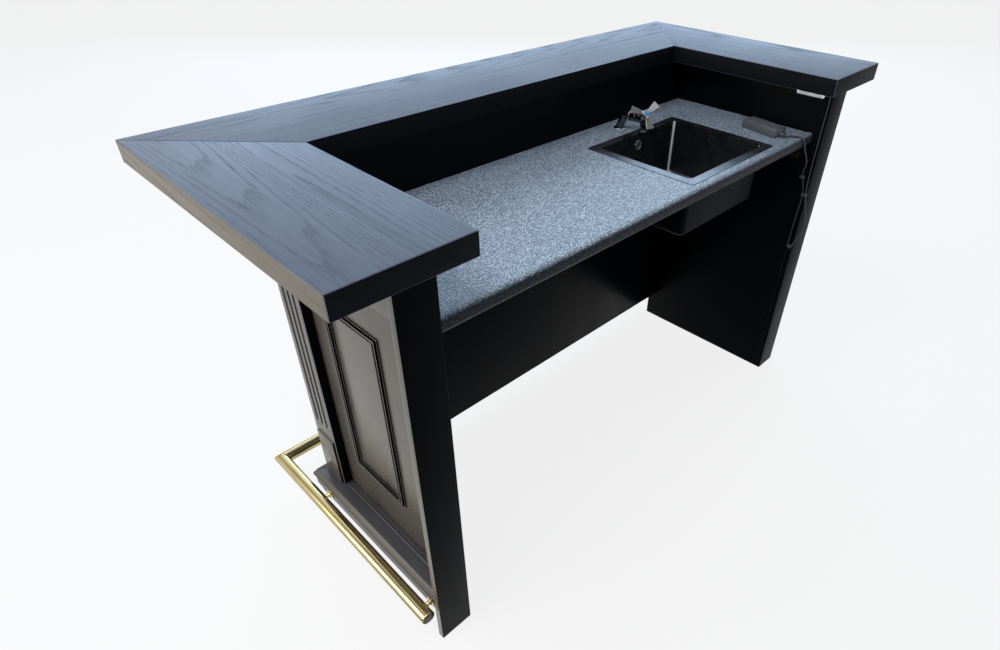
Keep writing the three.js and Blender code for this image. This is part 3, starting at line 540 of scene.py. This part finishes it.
def worked_copy(node, name):
    """A merged copy of a CAD node with its flat faces made whole again."""
    source = frame["nodes"][node]
    obj = bpy.data.objects.new(name, source.data.copy())
    bpy.context.scene.collection.objects.link(obj)
    only(obj)
    to_edit()
    bpy.ops.mesh.select_mode(type="VERT")
    bpy.ops.mesh.select_all(action="SELECT")
    bpy.ops.mesh.remove_doubles(threshold=MERGE)
    bpy.ops.mesh.dissolve_limited(angle_limit=math.radians(FLAT_DEGREES))
    to_object()
    obj.data.materials.clear()
    return obj


def dress(node, finish, width, steps=2, body=BODY, smooth=30.0):
    """Replaces a CAD node by its worked copy with rounded edges."""
    obj = worked_copy(node, node + "_piece")
    if width:
        round_edges(obj, width, steps)
    return settle(obj, body, finish, node, smooth=smooth)


def block(name, low, high):
    """A cube stretched between two corners, its place in its mesh."""
    clear_selection()
    low = Vector(low)
    high = Vector(high)
    bpy.ops.mesh.primitive_cube_add(size=1, location=(low + high) / 2)
    obj = bpy.context.object
    obj.name = name
    obj.scale = high - low
    freeze()
    return obj


def drum(name, radius, high, sides=40):
    """An upright cylinder that stands on the origin."""
    clear_selection()
    middle = (0, 0, high / 2)
    bpy.ops.mesh.primitive_cylinder_add(vertices=sides, radius=radius, depth=high, location=middle)
    obj = bpy.context.object
    obj.name = name
    freeze()
    return obj


def axes(right, up, ahead):
    """The turn that points a piece's +X, +Y and +Z along these three."""
    return Matrix((right, up, ahead)).transposed().to_4x4()


def seat(place, ahead):
    """The move that takes a piece made on the origin to its place, with its +Z looking ahead."""
    turn = UP.rotation_difference(ahead).to_matrix().to_4x4()
    return Matrix.Translation(Vector(place)) @ turn


def stand(obj, place, ahead):
    """Moves a piece made on the origin to its place."""
    obj.data.transform(seat(place, ahead))
    obj.data.update()


def repeat(source, name, move):
    """A copy of a modelled shape with its own mesh, moved to its place."""
    obj = bpy.data.objects.new(name, source.data.copy())
    bpy.context.scene.collection.objects.link(obj)
    obj.data.transform(move)
    obj.data.update()
    return obj


class BAR_OT_stage(bpy.types.Operator):
    """Sets up the camera, the lights and the floor"""

    bl_idname = "bar.stage"
    bl_label = "Stage"

    def camera(self, scene):
        lens = bpy.data.cameras.new("camera")
        lens.sensor_fit = "HORIZONTAL"
        lens.sensor_width = SENSOR_WIDE
        lens.lens = LENS
        lens.shift_x, lens.shift_y = LENS_SHIFT
        lens.clip_start = CAMERA_NEAR
        camera = bpy.data.objects.new("camera", lens)
        scene.collection.objects.link(camera)
        turn = axes(Vector(CAMERA_RIGHT), -Vector(CAMERA_DOWN), -Vector(CAMERA_AHEAD))
        camera.matrix_world = Matrix.Translation(CAMERA_PLACE) @ turn
        scene.camera = camera

    def lights(self, scene):
        for name, (place, size, power, colour) in LAMPS.items():
            light = bpy.data.lights.new(name, "AREA")
            light.shape = "RECTANGLE"
            light.size, light.size_y = size
            light.energy = power
            light.color = colour
            lamp = bpy.data.objects.new(name, light)
            scene.collection.objects.link(lamp)
            way = Vector(LAMP_TARGET) - Vector(place)
            turn = way.to_track_quat("-Z", "Y").to_matrix().to_4x4()
            lamp.matrix_world = Matrix.Translation(place) @ turn

    def floor(self):
        clear_selection()
        bpy.ops.mesh.primitive_plane_add(size=FLOOR_SIZE)
        floor = bpy.context.object
        floor.name = "studio_floor"
        kit = paint("studio_floor")
        tone = kit.mix(kit.noise(kit.place(), scale=2.0, detail=2.0), *FLOOR_TONES)
        matt = kit.make("ShaderNodeBsdfDiffuse", None, {"Color": tone})
        glow = kit.make("ShaderNodeEmission", None, {"Color": WHITE, "Strength": 1.0})
        both = kit.make("ShaderNodeMixShader", None, {0: kit.seen() * FLOOR_GLOW, 1: matt, 2: glow})
        floor.data.materials.append(kit.surface(both))

    def world(self, scene):
        kit = Kit(bpy.data.worlds.new("studio"), "ShaderNodeOutputWorld")
        plain = kit.make("ShaderNodeBackground", None, {"Color": SKY_TONE, "Strength": SKY_LEVEL})
        white = kit.make("ShaderNodeBackground", None, {"Color": WHITE, "Strength": 1.0})
        scene.world = kit.surface(kit.make("ShaderNodeMixShader", None, {0: kit.seen(), 1: plain, 2: white}))

    def execute(self, context):
        scene = context.scene
        scene.view_settings.view_transform = "Standard"
        self.camera(scene)
        self.lights(scene)
        self.floor()
        self.world(scene)
        return {"FINISHED"}


# How far the side boards stop short of the front board's mitres
MITRE_GAP = 0.0003


class BAR_OT_top(bpy.types.Operator):
    """Makes the three mitred boards of the bar top"""

    bl_idname = "bar.top"
    bl_label = "Bar top"

    def board(self, node, finish, mitres, dark, outer):
        sizes = bpy.context.scene.bar_sizes
        low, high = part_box(node)
        obj = block(node + "_board", low, high)
        for place, normal in mitres:
            only(obj)
            to_edit()
            bpy.ops.mesh.select_all(action="SELECT")
            bpy.ops.mesh.bisect(plane_co=place, plane_no=normal, use_fill=True, clear_outer=True)
            to_object()
        round_edges(obj, sizes.board_edge, sizes.edge_steps)
        settle(obj, BODY, finish, node)
        # The edges that look to the serving side get painted shade, the outer edges painted light
        second_finish(obj, "oak_shaded_edge", dark)
        second_finish(obj, "oak_lit_side", outer)

    def execute(self, context):
        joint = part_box("bar_top_front")[0].y
        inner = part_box("bar_top_left")[1].x
        short = joint - MITRE_GAP
        self.board("bar_top_front", "oak_front",
                   [((inner, joint, 0), (-1, -1, 0)), ((-inner, joint, 0), (1, -1, 0))],
                   looking(REAR), looking(FRONT))
        self.board("bar_top_left", "oak_left", [((inner, short, 0), (1, 1, 0))],
                   looking(REAR), looking(LEFT))
        self.board("bar_top_right", "oak_right", [((-inner, short, 0), (-1, 1, 0))],
                   looking(REAR, LEFT), looking(RIGHT))
        return {"FINISHED"}


# Shares of the panel edge for the thin panels and the stout bearers
PANEL_SHARE = 0.6
BEARER_SHARE = 1.5


class BAR_OT_carcass(bpy.types.Operator):
    """Dresses the panels, end boards and top bearers"""

    bl_idname = "bar.carcass"
    bl_label = "Panels and bearers"

    def execute(self, context):
        edge = context.scene.bar_sizes.panel_edge
        # Inside faces, and the end boards but for their outer faces, get painted shade
        for node, inside in (("front_panel", REAR), ("left_panel", RIGHT), ("right_panel", LEFT)):
            second_finish(dress(node, "lacquer", edge * PANEL_SHARE), "shaded_satin", looking(inside))
        for node, outside in (("left_end_board", LEFT), ("right_end_board", RIGHT)):
            second_finish(dress(node, "shaded_satin", edge, steps=3), "lacquer", looking(outside, least=FACING))
        for node in ("front_top_bearer", "left_top_bearer", "right_top_bearer"):
            dress(node, "lacquer", edge * BEARER_SHARE)
        return {"FINISHED"}


class BAR_OT_pilasters(bpy.types.Operator):
    """Dresses the fluted pilasters"""

    bl_idname = "bar.pilasters"
    bl_label = "Pilasters"

    def execute(self, context):
        edge = context.scene.bar_sizes.panel_edge
        for side in ("left", "right"):
            # The corner pilasters' faces that look to the serving side get painted shade
            second_finish(dress(f"{side}_corner_pilaster", "lacquer", edge), "shaded_satin", looking(REAR))
            dress(f"front_{side}_pilaster", "lacquer", edge)
        return {"FINISHED"}


# Bead frames: where each looks, its band, the steps across it and their shares of its whole height
BEADS = {
    "left_bead_frame": LEFT, "right_bead_frame": RIGHT, "front_left_bead_frame": FRONT,
    "front_middle_bead_frame": FRONT, "front_right_bead_frame": FRONT}
BEAD_BAND = 0.020
BEAD_STEP = 0.0035
BEAD_FLAT = 0.0025
BEAD_GROOVE = 0.002
BEAD_LOW_SHARE = 0.35
BEAD_HIGH_SHARE = 0.65
BEAD_GROOVE_SHARE = 0.4
BEAD_ROUND = 0.0009
# How far a bead face may turn from looking out before it gets painted shade
BEAD_SHADE_FACING = 0.6


class BAR_OT_beads(bpy.types.Operator):
    """Makes the double-lined bead frames on the panels"""

    bl_idname = "bar.beads"
    bl_label = "Bead frames"

    def raised(self, height):
        bpy.ops.mesh.extrude_region_move(TRANSFORM_OT_translate={"value": (0, 0, height)})

    def moulding(self, wide, high, proud):
        clear_selection()
        bpy.ops.mesh.primitive_plane_add(size=1)
        obj = bpy.context.object
        obj.name = "bead_master"
        obj.scale = (wide, high, 1)
        freeze()
        to_edit()
        bpy.ops.mesh.select_all(action="SELECT")
        bpy.ops.mesh.inset(thickness=BEAD_BAND, depth=0)
        bpy.ops.mesh.delete(type="ONLY_FACE")
        bpy.ops.mesh.select_all(action="SELECT")
        self.raised(proud * BEAD_LOW_SHARE)
        bpy.ops.mesh.inset(thickness=BEAD_STEP, depth=0)
        self.raised(proud * BEAD_HIGH_SHARE)
        bpy.ops.mesh.inset(thickness=BEAD_FLAT, depth=0)
        bpy.ops.mesh.inset(thickness=BEAD_GROOVE, depth=-proud * BEAD_GROOVE_SHARE)
        bpy.ops.mesh.select_all(action="SELECT")
        bpy.ops.mesh.normals_make_consistent(inside=False)
        to_object()
        round_edges(obj, BEAD_ROUND, limit=35.0)
        return obj

    def execute(self, context):
        master = None
        for node, out in BEADS.items():
            low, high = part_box(node)
            span = high - low
            wide, proud = (span.y, span.x) if out.x else (span.x, span.y)
            master = master or self.moulding(wide, span.z, proud)
            middle = (low + high) / 2 - out * proud / 2
            move = Matrix.Translation(middle) @ axes(UP.cross(out), UP, out)
            obj = settle(repeat(master, node + "_moulding", move), BODY, "lacquer", node)
            # Painted shade on the moulding's sides and grooves
            second_finish(obj, "shaded_satin", lambda face: face.normal.dot(out) < BEAD_SHADE_FACING)
        bpy.data.objects.remove(master)
        return {"FINISHED"}


# Plinth caps' rounding as a share of the panel edge, and the seam on each side ledge
PLINTH_CAP_SHARE = 2
SEAM_OUT = 0.018
SEAM_HALF = 0.0016
SEAM_SUNK = 0.001
SEAM_PROUD = 0.0024
SEAM_CLEAR = 0.0005
SEAM_ROUND = 0.0009


class BAR_OT_plinth(bpy.types.Operator):
    """Dresses the plinth boards and their sloped caps, and lays a seam on each side ledge"""

    bl_idname = "bar.plinth"
    bl_label = "Plinth"

    def seam(self, side, way):
        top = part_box(f"{side}_plinth_cap")[1].z
        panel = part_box(f"{side}_panel")
        middle = way * (max(abs(corner.x) for corner in panel) + SEAM_OUT)
        back = panel[0].y + SEAM_CLEAR
        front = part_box(f"{side}_corner_pilaster")[0].y - SEAM_CLEAR
        strip = block(f"{side}_ledge_seam", (middle - SEAM_HALF, back, top - SEAM_SUNK),
                      (middle + SEAM_HALF, front, top + SEAM_PROUD))
        round_edges(strip, SEAM_ROUND, steps=3)
        settle(strip, BODY, "lacquer")

    def execute(self, context):
        edge = context.scene.bar_sizes.panel_edge
        for side in ("left", "front", "right"):
            # The plinth's boards and caps take the lit lacquer copy as painted light
            dress(f"{side}_plinth_board", "lit_skirt", edge)
            cap = dress(f"{side}_plinth_cap", "lit_skirt", edge * PLINTH_CAP_SHARE, steps=3)
            # The caps' tops get painted shade
            second_finish(cap, "shade", looking(UP))
        self.seam("left", -1)
        self.seam("right", 1)
        return {"FINISHED"}


# Foot rail, with each run's finish, then where its brackets look and how many there are, and their screws
RAILS = {"left_rail": "brass_y", "right_rail": "brass_y", "front_rail": "brass_x"}
BRACKETS = {"left": (LEFT, 2), "right": (RIGHT, 2), "front": (FRONT, 3)}
RAIL_CAP_ROUND = 0.0006
BRACKET_ROUND = 0.0007
ROSE_FACE = 0.0048
SCREW_RADIUS = 0.0028
SCREW_HIGH = 0.0016
SCREW_SIDES = 20
SCREW_ROUND = 0.0008
SCREW_RISE = 0.0105
SLIT_REACH = 0.004
SLIT_HALF = 0.0004
SLIT_FLOOR = 0.0009


class BAR_OT_rail(bpy.types.Operator):
    """Dresses the brass foot rail, its end caps and its brackets"""

    bl_idname = "bar.rail"
    bl_label = "Foot rail"

    def screw(self):
        head = drum("screw_master", SCREW_RADIUS, SCREW_HIGH, SCREW_SIDES)
        round_some(head, above(SCREW_HIGH - NEAR), SCREW_ROUND, steps=3)
        slit = block("screw_slit", (-SLIT_REACH, -SLIT_HALF, SLIT_FLOOR), (SLIT_REACH, SLIT_HALF, SLIT_REACH))
        only(head)
        cut = head.modifiers.new("slit", "BOOLEAN")
        cut.operation = "DIFFERENCE"
        cut.object = slit
        bpy.ops.object.modifier_apply(modifier=cut.name)
        bpy.data.objects.remove(slit)
        return head

    def bracket(self, node, ahead, screw):
        dress(node, "brass_x" if ahead.y else "brass_y", BRACKET_ROUND)
        low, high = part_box(node)
        rose = (low + high) / 2
        if ahead.y:
            rose.y = low.y + ROSE_FACE
        else:
            rose.x = (high.x if ahead.x < 0 else low.x) + ROSE_FACE * ahead.x
        for i, lift in enumerate((-SCREW_RISE, SCREW_RISE)):
            head = repeat(screw, f"{node}_screw_{i + 1}", seat(rose + UP * lift, ahead))
            settle(head, BODY, "brass_x")

    def execute(self, context):
        for node, finish in RAILS.items():
            dress(node, finish, 0, smooth=40.0)
        for node in ("left_rail_cap", "right_rail_cap"):
            cap = dress(node, "brass_x", RAIL_CAP_ROUND)
            # The caps' faces toward the serving side get painted shade
            second_finish(cap, "brass_end_shaded", looking(REAR, least=FACING))
        screw = self.screw()
        for side, (ahead, count) in BRACKETS.items():
            for i in range(count):
                self.bracket(f"{side}_bracket_{i + 1}", ahead, screw)
        bpy.data.objects.remove(screw)
        return {"FINISHED"}


# How level a face of the worktop has to be to count as its top
WORKTOP_LEVEL = 0.75


class BAR_OT_worktop(bpy.types.Operator):
    """Dresses the worktop and the battens that carry it"""

    bl_idname = "bar.worktop"
    bl_label = "Worktop"

    def execute(self, context):
        edge = context.scene.bar_sizes.panel_edge
        worktop = dress("worktop", "laminate", 0, smooth=35.0)
        # The edge faces take a duller copy of the laminate that keeps the painted shade dark
        second_finish(worktop, "laminate_shaded_edge", lambda face: face.normal.z < WORKTOP_LEVEL)
        for side in ("left", "right", "rear"):
            dress(f"{side}_worktop_batten", "timber", edge)
        # The end trim under the worktop gets painted shade
        dress("worktop_end_trim", "shaded_satin", edge)
        return {"FINISHED"}


# Sink: its brim, the tests of its outside for painted shade and of its corners for a painted highlight, its
# fittings and the overflow's cover
BRIM_DEPTH = 0.004
BOWL_OUTSIDE = 0.01
BOWL_SLANT = 0.5
WASTE_ROUND = 0.0004
STRAINER_ROUND = 0.0005
COVER_HIGH = 0.003
COVER_SIDES = 48
COVER_RIM = 0.0025
COVER_STEP = 0.001
COVER_SUNK = 0.0008
COVER_ROUND = 0.0005


class BAR_OT_sink(bpy.types.Operator):
    """Dresses the sink bowl, its waste, strainer and overflow"""

    bl_idname = "bar.sink"
    bl_label = "Sink"

    def bowl(self):
        bowl = dress("sink_bowl", "sink", 0, smooth=40.0)
        low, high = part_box("sink_bowl")
        middle = (low + high) / 2
        brim = high.z - BRIM_DEPTH

        # The bowl's outside under the worktop, which gets painted shade
        def outside(face):
            reach = face.center - middle
            outward = reach.x * face.normal.x + reach.y * face.normal.y
            return face.normal.z < -BOWL_SLANT or (face.center.z < brim and outward > BOWL_OUTSIDE)

        # The inner corner fillets that get the painted highlight
        def corner(face):
            slant = min(abs(face.normal.x), abs(face.normal.y))
            return slant > BOWL_SLANT and face.center.z < brim and not outside(face)

        second_finish(bowl, "shaded_satin", outside)
        second_finish(bowl, "fillet_highlight", corner)

    def overflow(self):
        low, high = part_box("sink_overflow")
        middle = (low + high) / 2
        cover = drum("sink_overflow_cover", (high.x - low.x) / 2, COVER_HIGH, COVER_SIDES)
        faces_by(cover, looking(UP, least=FACING))
        bpy.ops.mesh.inset(thickness=COVER_RIM, depth=0)
        bpy.ops.mesh.inset(thickness=COVER_STEP, depth=-COVER_SUNK)
        to_object()
        round_some(cover, above(COVER_HIGH - NEAR), COVER_ROUND, steps=2)
        stand(cover, (middle.x, low.y + COVER_HIGH, middle.z), REAR)
        settle(cover, BODY, "strainer", "sink_overflow")

    def execute(self, context):
        self.bowl()
        dress("sink_waste", "bright", WASTE_ROUND, smooth=35.0)
        dress("sink_strainer", "strainer", STRAINER_ROUND, body=STRAINER, smooth=35.0)
        self.overflow()
        return {"FINISHED"}


# Tap rings as radius and height, and how far they sit from the pillar's ends and the handle's pivot
TAP_ROUND = 0.0006
BASE_RING = (0.0192, 0.003)
UNION_RING = (0.0157, 0.004)
VALVE_RING = (0.0148, 0.004)
BONNET_RING = (0.0115, 0.004)
NOZZLE_RING = (0.0120, 0.003)
RING_ROUND = 0.0012
RING_ROUND_SHARE = 0.3
STEM_BACK = 0.018
UNION_BACK = 0.009
VALVE_AHEAD = 0.012
BONNET_AHEAD = 0.0175
NOZZLE_RISE = 0.0065

# Tap handle: its hub, its paddles, where its painted highlight starts, and its cap
HANDLE_LIFT = 0.0223
HANDLE_TURN = math.radians(40)
HUB_RADIUS = 0.021
HUB_HIGH = 0.014
HUB_SIDES = 3
HUB_CORNER = 0.004
HUB_ROUND = 0.0025
PADDLES = 3
PADDLE_START = 0.004
PADDLE_HALF = 0.0055
PADDLE_LOW = 0.003
PADDLE_TOP = 0.011
PADDLE_FLARE = (1, 2.3, 0.8)
PADDLE_ROUND = 0.0022
HIGHLIGHT_ABOVE = 0.013
HIGHLIGHT_BEYOND = 0.014
CAP_RADIUS = 0.007
CAP_HIGH = 0.0026
CAP_RIM = 0.0022
CAP_DOME = 0.0008
CAP_ROUND = 0.0006
CAP_LIFT = 0.0143


class BAR_OT_tap(bpy.types.Operator):
    """Dresses the tap and makes its rings, paddles and blue cap"""

    bl_idname = "bar.tap"
    bl_label = "Tap"

    def ring(self, name, size, place, ahead, finish):
        radius, high = size
        ring = drum(name, radius, high)
        width = min(RING_ROUND, high * RING_ROUND_SHARE)
        round_some(ring, lambda a, b: abs(a.z - b.z) < NEAR, width, steps=3)
        stand(ring, place, ahead)
        settle(ring, BODY, finish)

    def hub(self):
        hub = drum("tap_handle_hub", HUB_RADIUS, HUB_HIGH, HUB_SIDES)
        hub.data.transform(Matrix.Rotation(HANDLE_TURN - math.pi / 2, 4, "Z"))
        round_some(hub, lambda a, b: abs(a.z - b.z) > HUB_HIGH / 2, HUB_CORNER, steps=5)
        round_some(hub, above(HUB_HIGH - NEAR), HUB_ROUND, steps=3)
        return hub

    def paddles(self, reach):
        blade = block("paddle_master", (PADDLE_START, -PADDLE_HALF, PADDLE_LOW),
                      (reach, PADDLE_HALF, PADDLE_TOP))
        faces_by(blade, looking(RIGHT, least=FACING))
        end = (reach, 0, (PADDLE_LOW + PADDLE_TOP) / 2)
        bpy.ops.transform.resize(value=PADDLE_FLARE, center_override=end)
        to_object()
        round_edges(blade, PADDLE_ROUND, steps=3)
        made = []
        for i in range(PADDLES):
            turn = Matrix.Rotation(HANDLE_TURN + 2 * math.pi * i / PADDLES, 4, "Z")
            made.append(repeat(blade, f"tap_paddle_{i}", turn))
        bpy.data.objects.remove(blade)
        return made

    def handle(self, pivot, ahead):
        side = UP.cross(ahead).normalized()
        up = ahead.cross(side)
        hub = self.hub()
        paddles = self.paddles(bpy.context.scene.bar_sizes.paddle)
        only(hub)
        for paddle in paddles:
            paddle.select_set(True)
        bpy.ops.object.join()
        hub.data.transform(Matrix.Translation(pivot + ahead * HANDLE_LIFT) @ axes(side, up, ahead))
        settle(hub, HANDLE, "chrome", "tap_handle")
        along = side * math.cos(HANDLE_TURN) + up * math.sin(HANDLE_TURN)

        # Painted highlight on the hub's top and on the outer end of one paddle
        def bright(face):
            spot = face.center - pivot
            on_top = face.normal.dot(ahead) > FACING and spot.dot(ahead) > HANDLE_LIFT + HIGHLIGHT_ABOVE
            return on_top or spot.dot(along) > HIGHLIGHT_BEYOND

        second_finish(hub, "handle", bright)

    def cap(self, pivot, ahead):
        cap = drum("tap_handle_blue_cap", CAP_RADIUS, CAP_HIGH)
        faces_by(cap, looking(UP, least=FACING))
        bpy.ops.mesh.inset(thickness=CAP_RIM, depth=CAP_DOME)
        to_object()
        round_edges(cap, CAP_ROUND, steps=3)
        stand(cap, pivot + ahead * (HANDLE_LIFT + CAP_LIFT), ahead)
        settle(cap, HANDLE, "blue", "tap_handle_cap")

    def execute(self, context):
        joint = next(j for j in frame["joints"] if j["name"] == "tap_turn")
        pivot = Vector(joint["pos_m"])
        ahead = Vector(joint["axis"]).normalized()
        dress("tap_pillar", "chrome", 0, smooth=40.0)
        dress("tap_body", "chrome", TAP_ROUND, smooth=40.0)
        dress("tap_back_nut", "bright", TAP_ROUND)
        low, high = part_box("tap_pillar")
        base = (pivot.x, high.y - STEM_BACK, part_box("worktop")[1][2])
        union = (pivot.x, low.y + UNION_BACK, pivot.z)
        valve = (pivot.x, low.y - VALVE_AHEAD, pivot.z)
        nozzle = (pivot.x, pivot.y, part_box("tap_body")[0][2] + NOZZLE_RISE)
        self.ring("tap_base_ring", BASE_RING, base, UP, "bright")
        # The union and bonnet rings take the lighter chrome copy as a painted highlight
        self.ring("tap_union_ring", UNION_RING, union, REAR, "handle")
        self.ring("tap_valve_ring", VALVE_RING, valve, REAR, "chrome")
        self.ring("tap_bonnet_ring", BONNET_RING, pivot + ahead * BONNET_AHEAD, ahead, "handle")
        self.ring("tap_nozzle_ring", NOZZLE_RING, nozzle, UP, "chrome")
        self.handle(pivot, ahead)
        self.cap(pivot, ahead)
        return {"FINISHED"}


# Light bar: its channel and its end stops
CHANNEL_RIM = 0.0018
CHANNEL_STEP = 0.0004
CHANNEL_SUNK = 0.0015
CHANNEL_ROUND = 0.0008
STOP_PROUD = 0.0004
STOP_HALF = 0.0024
STOP_IN = 0.002
STOP_ROUND = 0.0007

# Driver: how it lies on the worktop, its ribs and its gland
DRIVER_TURN = math.radians(-9.7)
DRIVER_ROUND = 0.0006
RIBS = 5
RIB_PITCH = 0.008
RIB_START = -0.016
RIB_HALF = 0.0012
RIB_REACH = 0.052
RIB_SUNK = 0.001
RIB_PROUD = 0.0012
RIB_ROUND = 0.0008
GLAND_RADIUS = 0.0055
GLAND_LONG = 0.014
GLAND_SIDES = 28
GLAND_NECK = (0.6, 0.6, 1.0)
GLAND_ROUND = 0.0006
GLAND_PLACE = (0.0, -0.0625, -0.0165)

# Lead clips and their nails
CLIP_ROUND = 0.0008
NAIL_RADIUS = 0.0022
NAIL_HIGH = 0.0012
NAIL_SIDES = 18
NAIL_ROUND = 0.0006
NAIL_SUNK = 0.0002
NAIL_IN = 0.0028


class BAR_OT_light(bpy.types.Operator):
    """Makes the light bar, its driver, its lead and the lead's clips"""

    bl_idname = "bar.light"
    bl_label = "Light and driver"

    def bar(self):
        low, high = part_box("led_bar")
        channel = block("led_channel", low, high)
        faces_by(channel, looking(DOWN, least=FACING))
        bpy.ops.mesh.inset(thickness=CHANNEL_RIM, depth=0)
        bpy.ops.mesh.inset(thickness=CHANNEL_STEP, depth=-CHANNEL_SUNK)
        to_object()
        round_edges(channel, CHANNEL_ROUND)
        settle(channel, BODY, "white", "led_bar")
        master = block("stop_master", (low.x - STOP_PROUD, -STOP_HALF, low.z - STOP_PROUD),
                       (high.x + STOP_PROUD, STOP_HALF, high.z))
        round_edges(master, STOP_ROUND)
        for i, y in enumerate((low.y + STOP_IN, high.y - STOP_IN)):
            stop = repeat(master, f"led_end_stop_{i + 1}", Matrix.Translation((0, y, 0)))
            settle(stop, BODY, "alloy")
        bpy.data.objects.remove(master)

    def ribs(self, top):
        master = block("rib_master", (-RIB_HALF, -RIB_REACH, -RIB_SUNK), (RIB_HALF, RIB_REACH, RIB_PROUD))
        round_edges(master, RIB_ROUND)
        for i in range(RIBS):
            move = top @ Matrix.Translation((RIB_START + RIB_PITCH * i, 0, 0))
            settle(repeat(master, f"driver_rib_{i + 1}", move), BODY, "case")
        bpy.data.objects.remove(master)

    def gland(self, top):
        gland = drum("driver_gland", GLAND_RADIUS, GLAND_LONG, GLAND_SIDES)
        faces_by(gland, looking(UP, least=FACING))
        bpy.ops.transform.resize(value=GLAND_NECK)
        to_object()
        round_edges(gland, GLAND_ROUND)
        stand(gland, top @ Vector(GLAND_PLACE), top.to_3x3() @ REAR)
        settle(gland, BODY, "case")

    def driver(self):
        driver = worked_copy("led_driver", "led_driver_case")
        round_edges(driver, DRIVER_ROUND)
        settle(driver, BODY, "case", "led_driver")
        low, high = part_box("led_driver")
        middle = (low + high) / 2
        top = Matrix.Translation((middle.x, middle.y, high.z)) @ Matrix.Rotation(DRIVER_TURN, 4, "Z")
        self.ribs(top)
        self.gland(top)

    def lead(self):
        lead = worked_copy("led_lead", "led_lead_sheath")
        smooth = lead.modifiers.new("round", "SUBSURF")
        smooth.levels = 1
        smooth.render_levels = 1
        only(lead)
        bpy.ops.object.modifier_apply(modifier=smooth.name)
        settle(lead, BODY, "cable", "led_lead", smooth=60.0)

    def clips(self):
        nail = drum("nail_master", NAIL_RADIUS, NAIL_HIGH, NAIL_SIDES)
        round_some(nail, above(NAIL_HIGH - NEAR), NAIL_ROUND, steps=3)
        for node in ("lead_clip_1", "lead_clip_2", "lead_clip_3"):
            low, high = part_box(node)
            clip = worked_copy(node, node + "_saddle")
            round_edges(clip, CLIP_ROUND)
            settle(clip, BODY, "case", node)
            place = (low.x + NAIL_SUNK, high.y - NAIL_IN, (low.z + high.z) / 2)
            settle(repeat(nail, node + "_nail", seat(place, LEFT)), BODY, "case")
        bpy.data.objects.remove(nail)

    def execute(self, context):
        self.bar()
        self.driver()
        self.lead()
        self.clips()
        return {"FINISHED"}


class BAR_PT_panel(bpy.types.Panel):
    """Lists the counter's making steps and values"""

    bl_label = "Bar counter"
    bl_idname = "BAR_PT_panel"
    bl_space_type = "VIEW_3D"
    bl_region_type = "UI"
    bl_category = "Bar counter"

    def draw(self, context):
        for step in STEPS:
            self.layout.operator(step.bl_idname)
        for group in (context.scene.bar_sizes, context.scene.bar_finishes):
            for name in group.__annotations__:
                self.layout.prop(group, name)


STEPS = (
    BAR_OT_stage, BAR_OT_top, BAR_OT_carcass, BAR_OT_pilasters, BAR_OT_beads, BAR_OT_plinth,
    BAR_OT_rail, BAR_OT_worktop, BAR_OT_sink, BAR_OT_tap, BAR_OT_light)
CLASSES = (BarSizes, BarFinishes, *STEPS, BAR_PT_panel)


def register():
    for item in CLASSES:
        bpy.utils.register_class(item)
    bpy.types.Scene.bar_sizes = PointerProperty(type=BarSizes)
    bpy.types.Scene.bar_finishes = PointerProperty(type=BarFinishes)


def unregister():
    del bpy.types.Scene.bar_finishes
    del bpy.types.Scene.bar_sizes
    for item in reversed(CLASSES):
        bpy.utils.unregister_class(item)


def main():
    register()
    bpy.ops.bar.stage()
    bpy.ops.bar.top()
    bpy.ops.bar.carcass()
    bpy.ops.bar.pilasters()
    bpy.ops.bar.beads()
    bpy.ops.bar.plinth()
    bpy.ops.bar.rail()
    bpy.ops.bar.worktop()
    bpy.ops.bar.sink()
    bpy.ops.bar.tap()
    bpy.ops.bar.light()


if __name__ == "__main__":
    main()
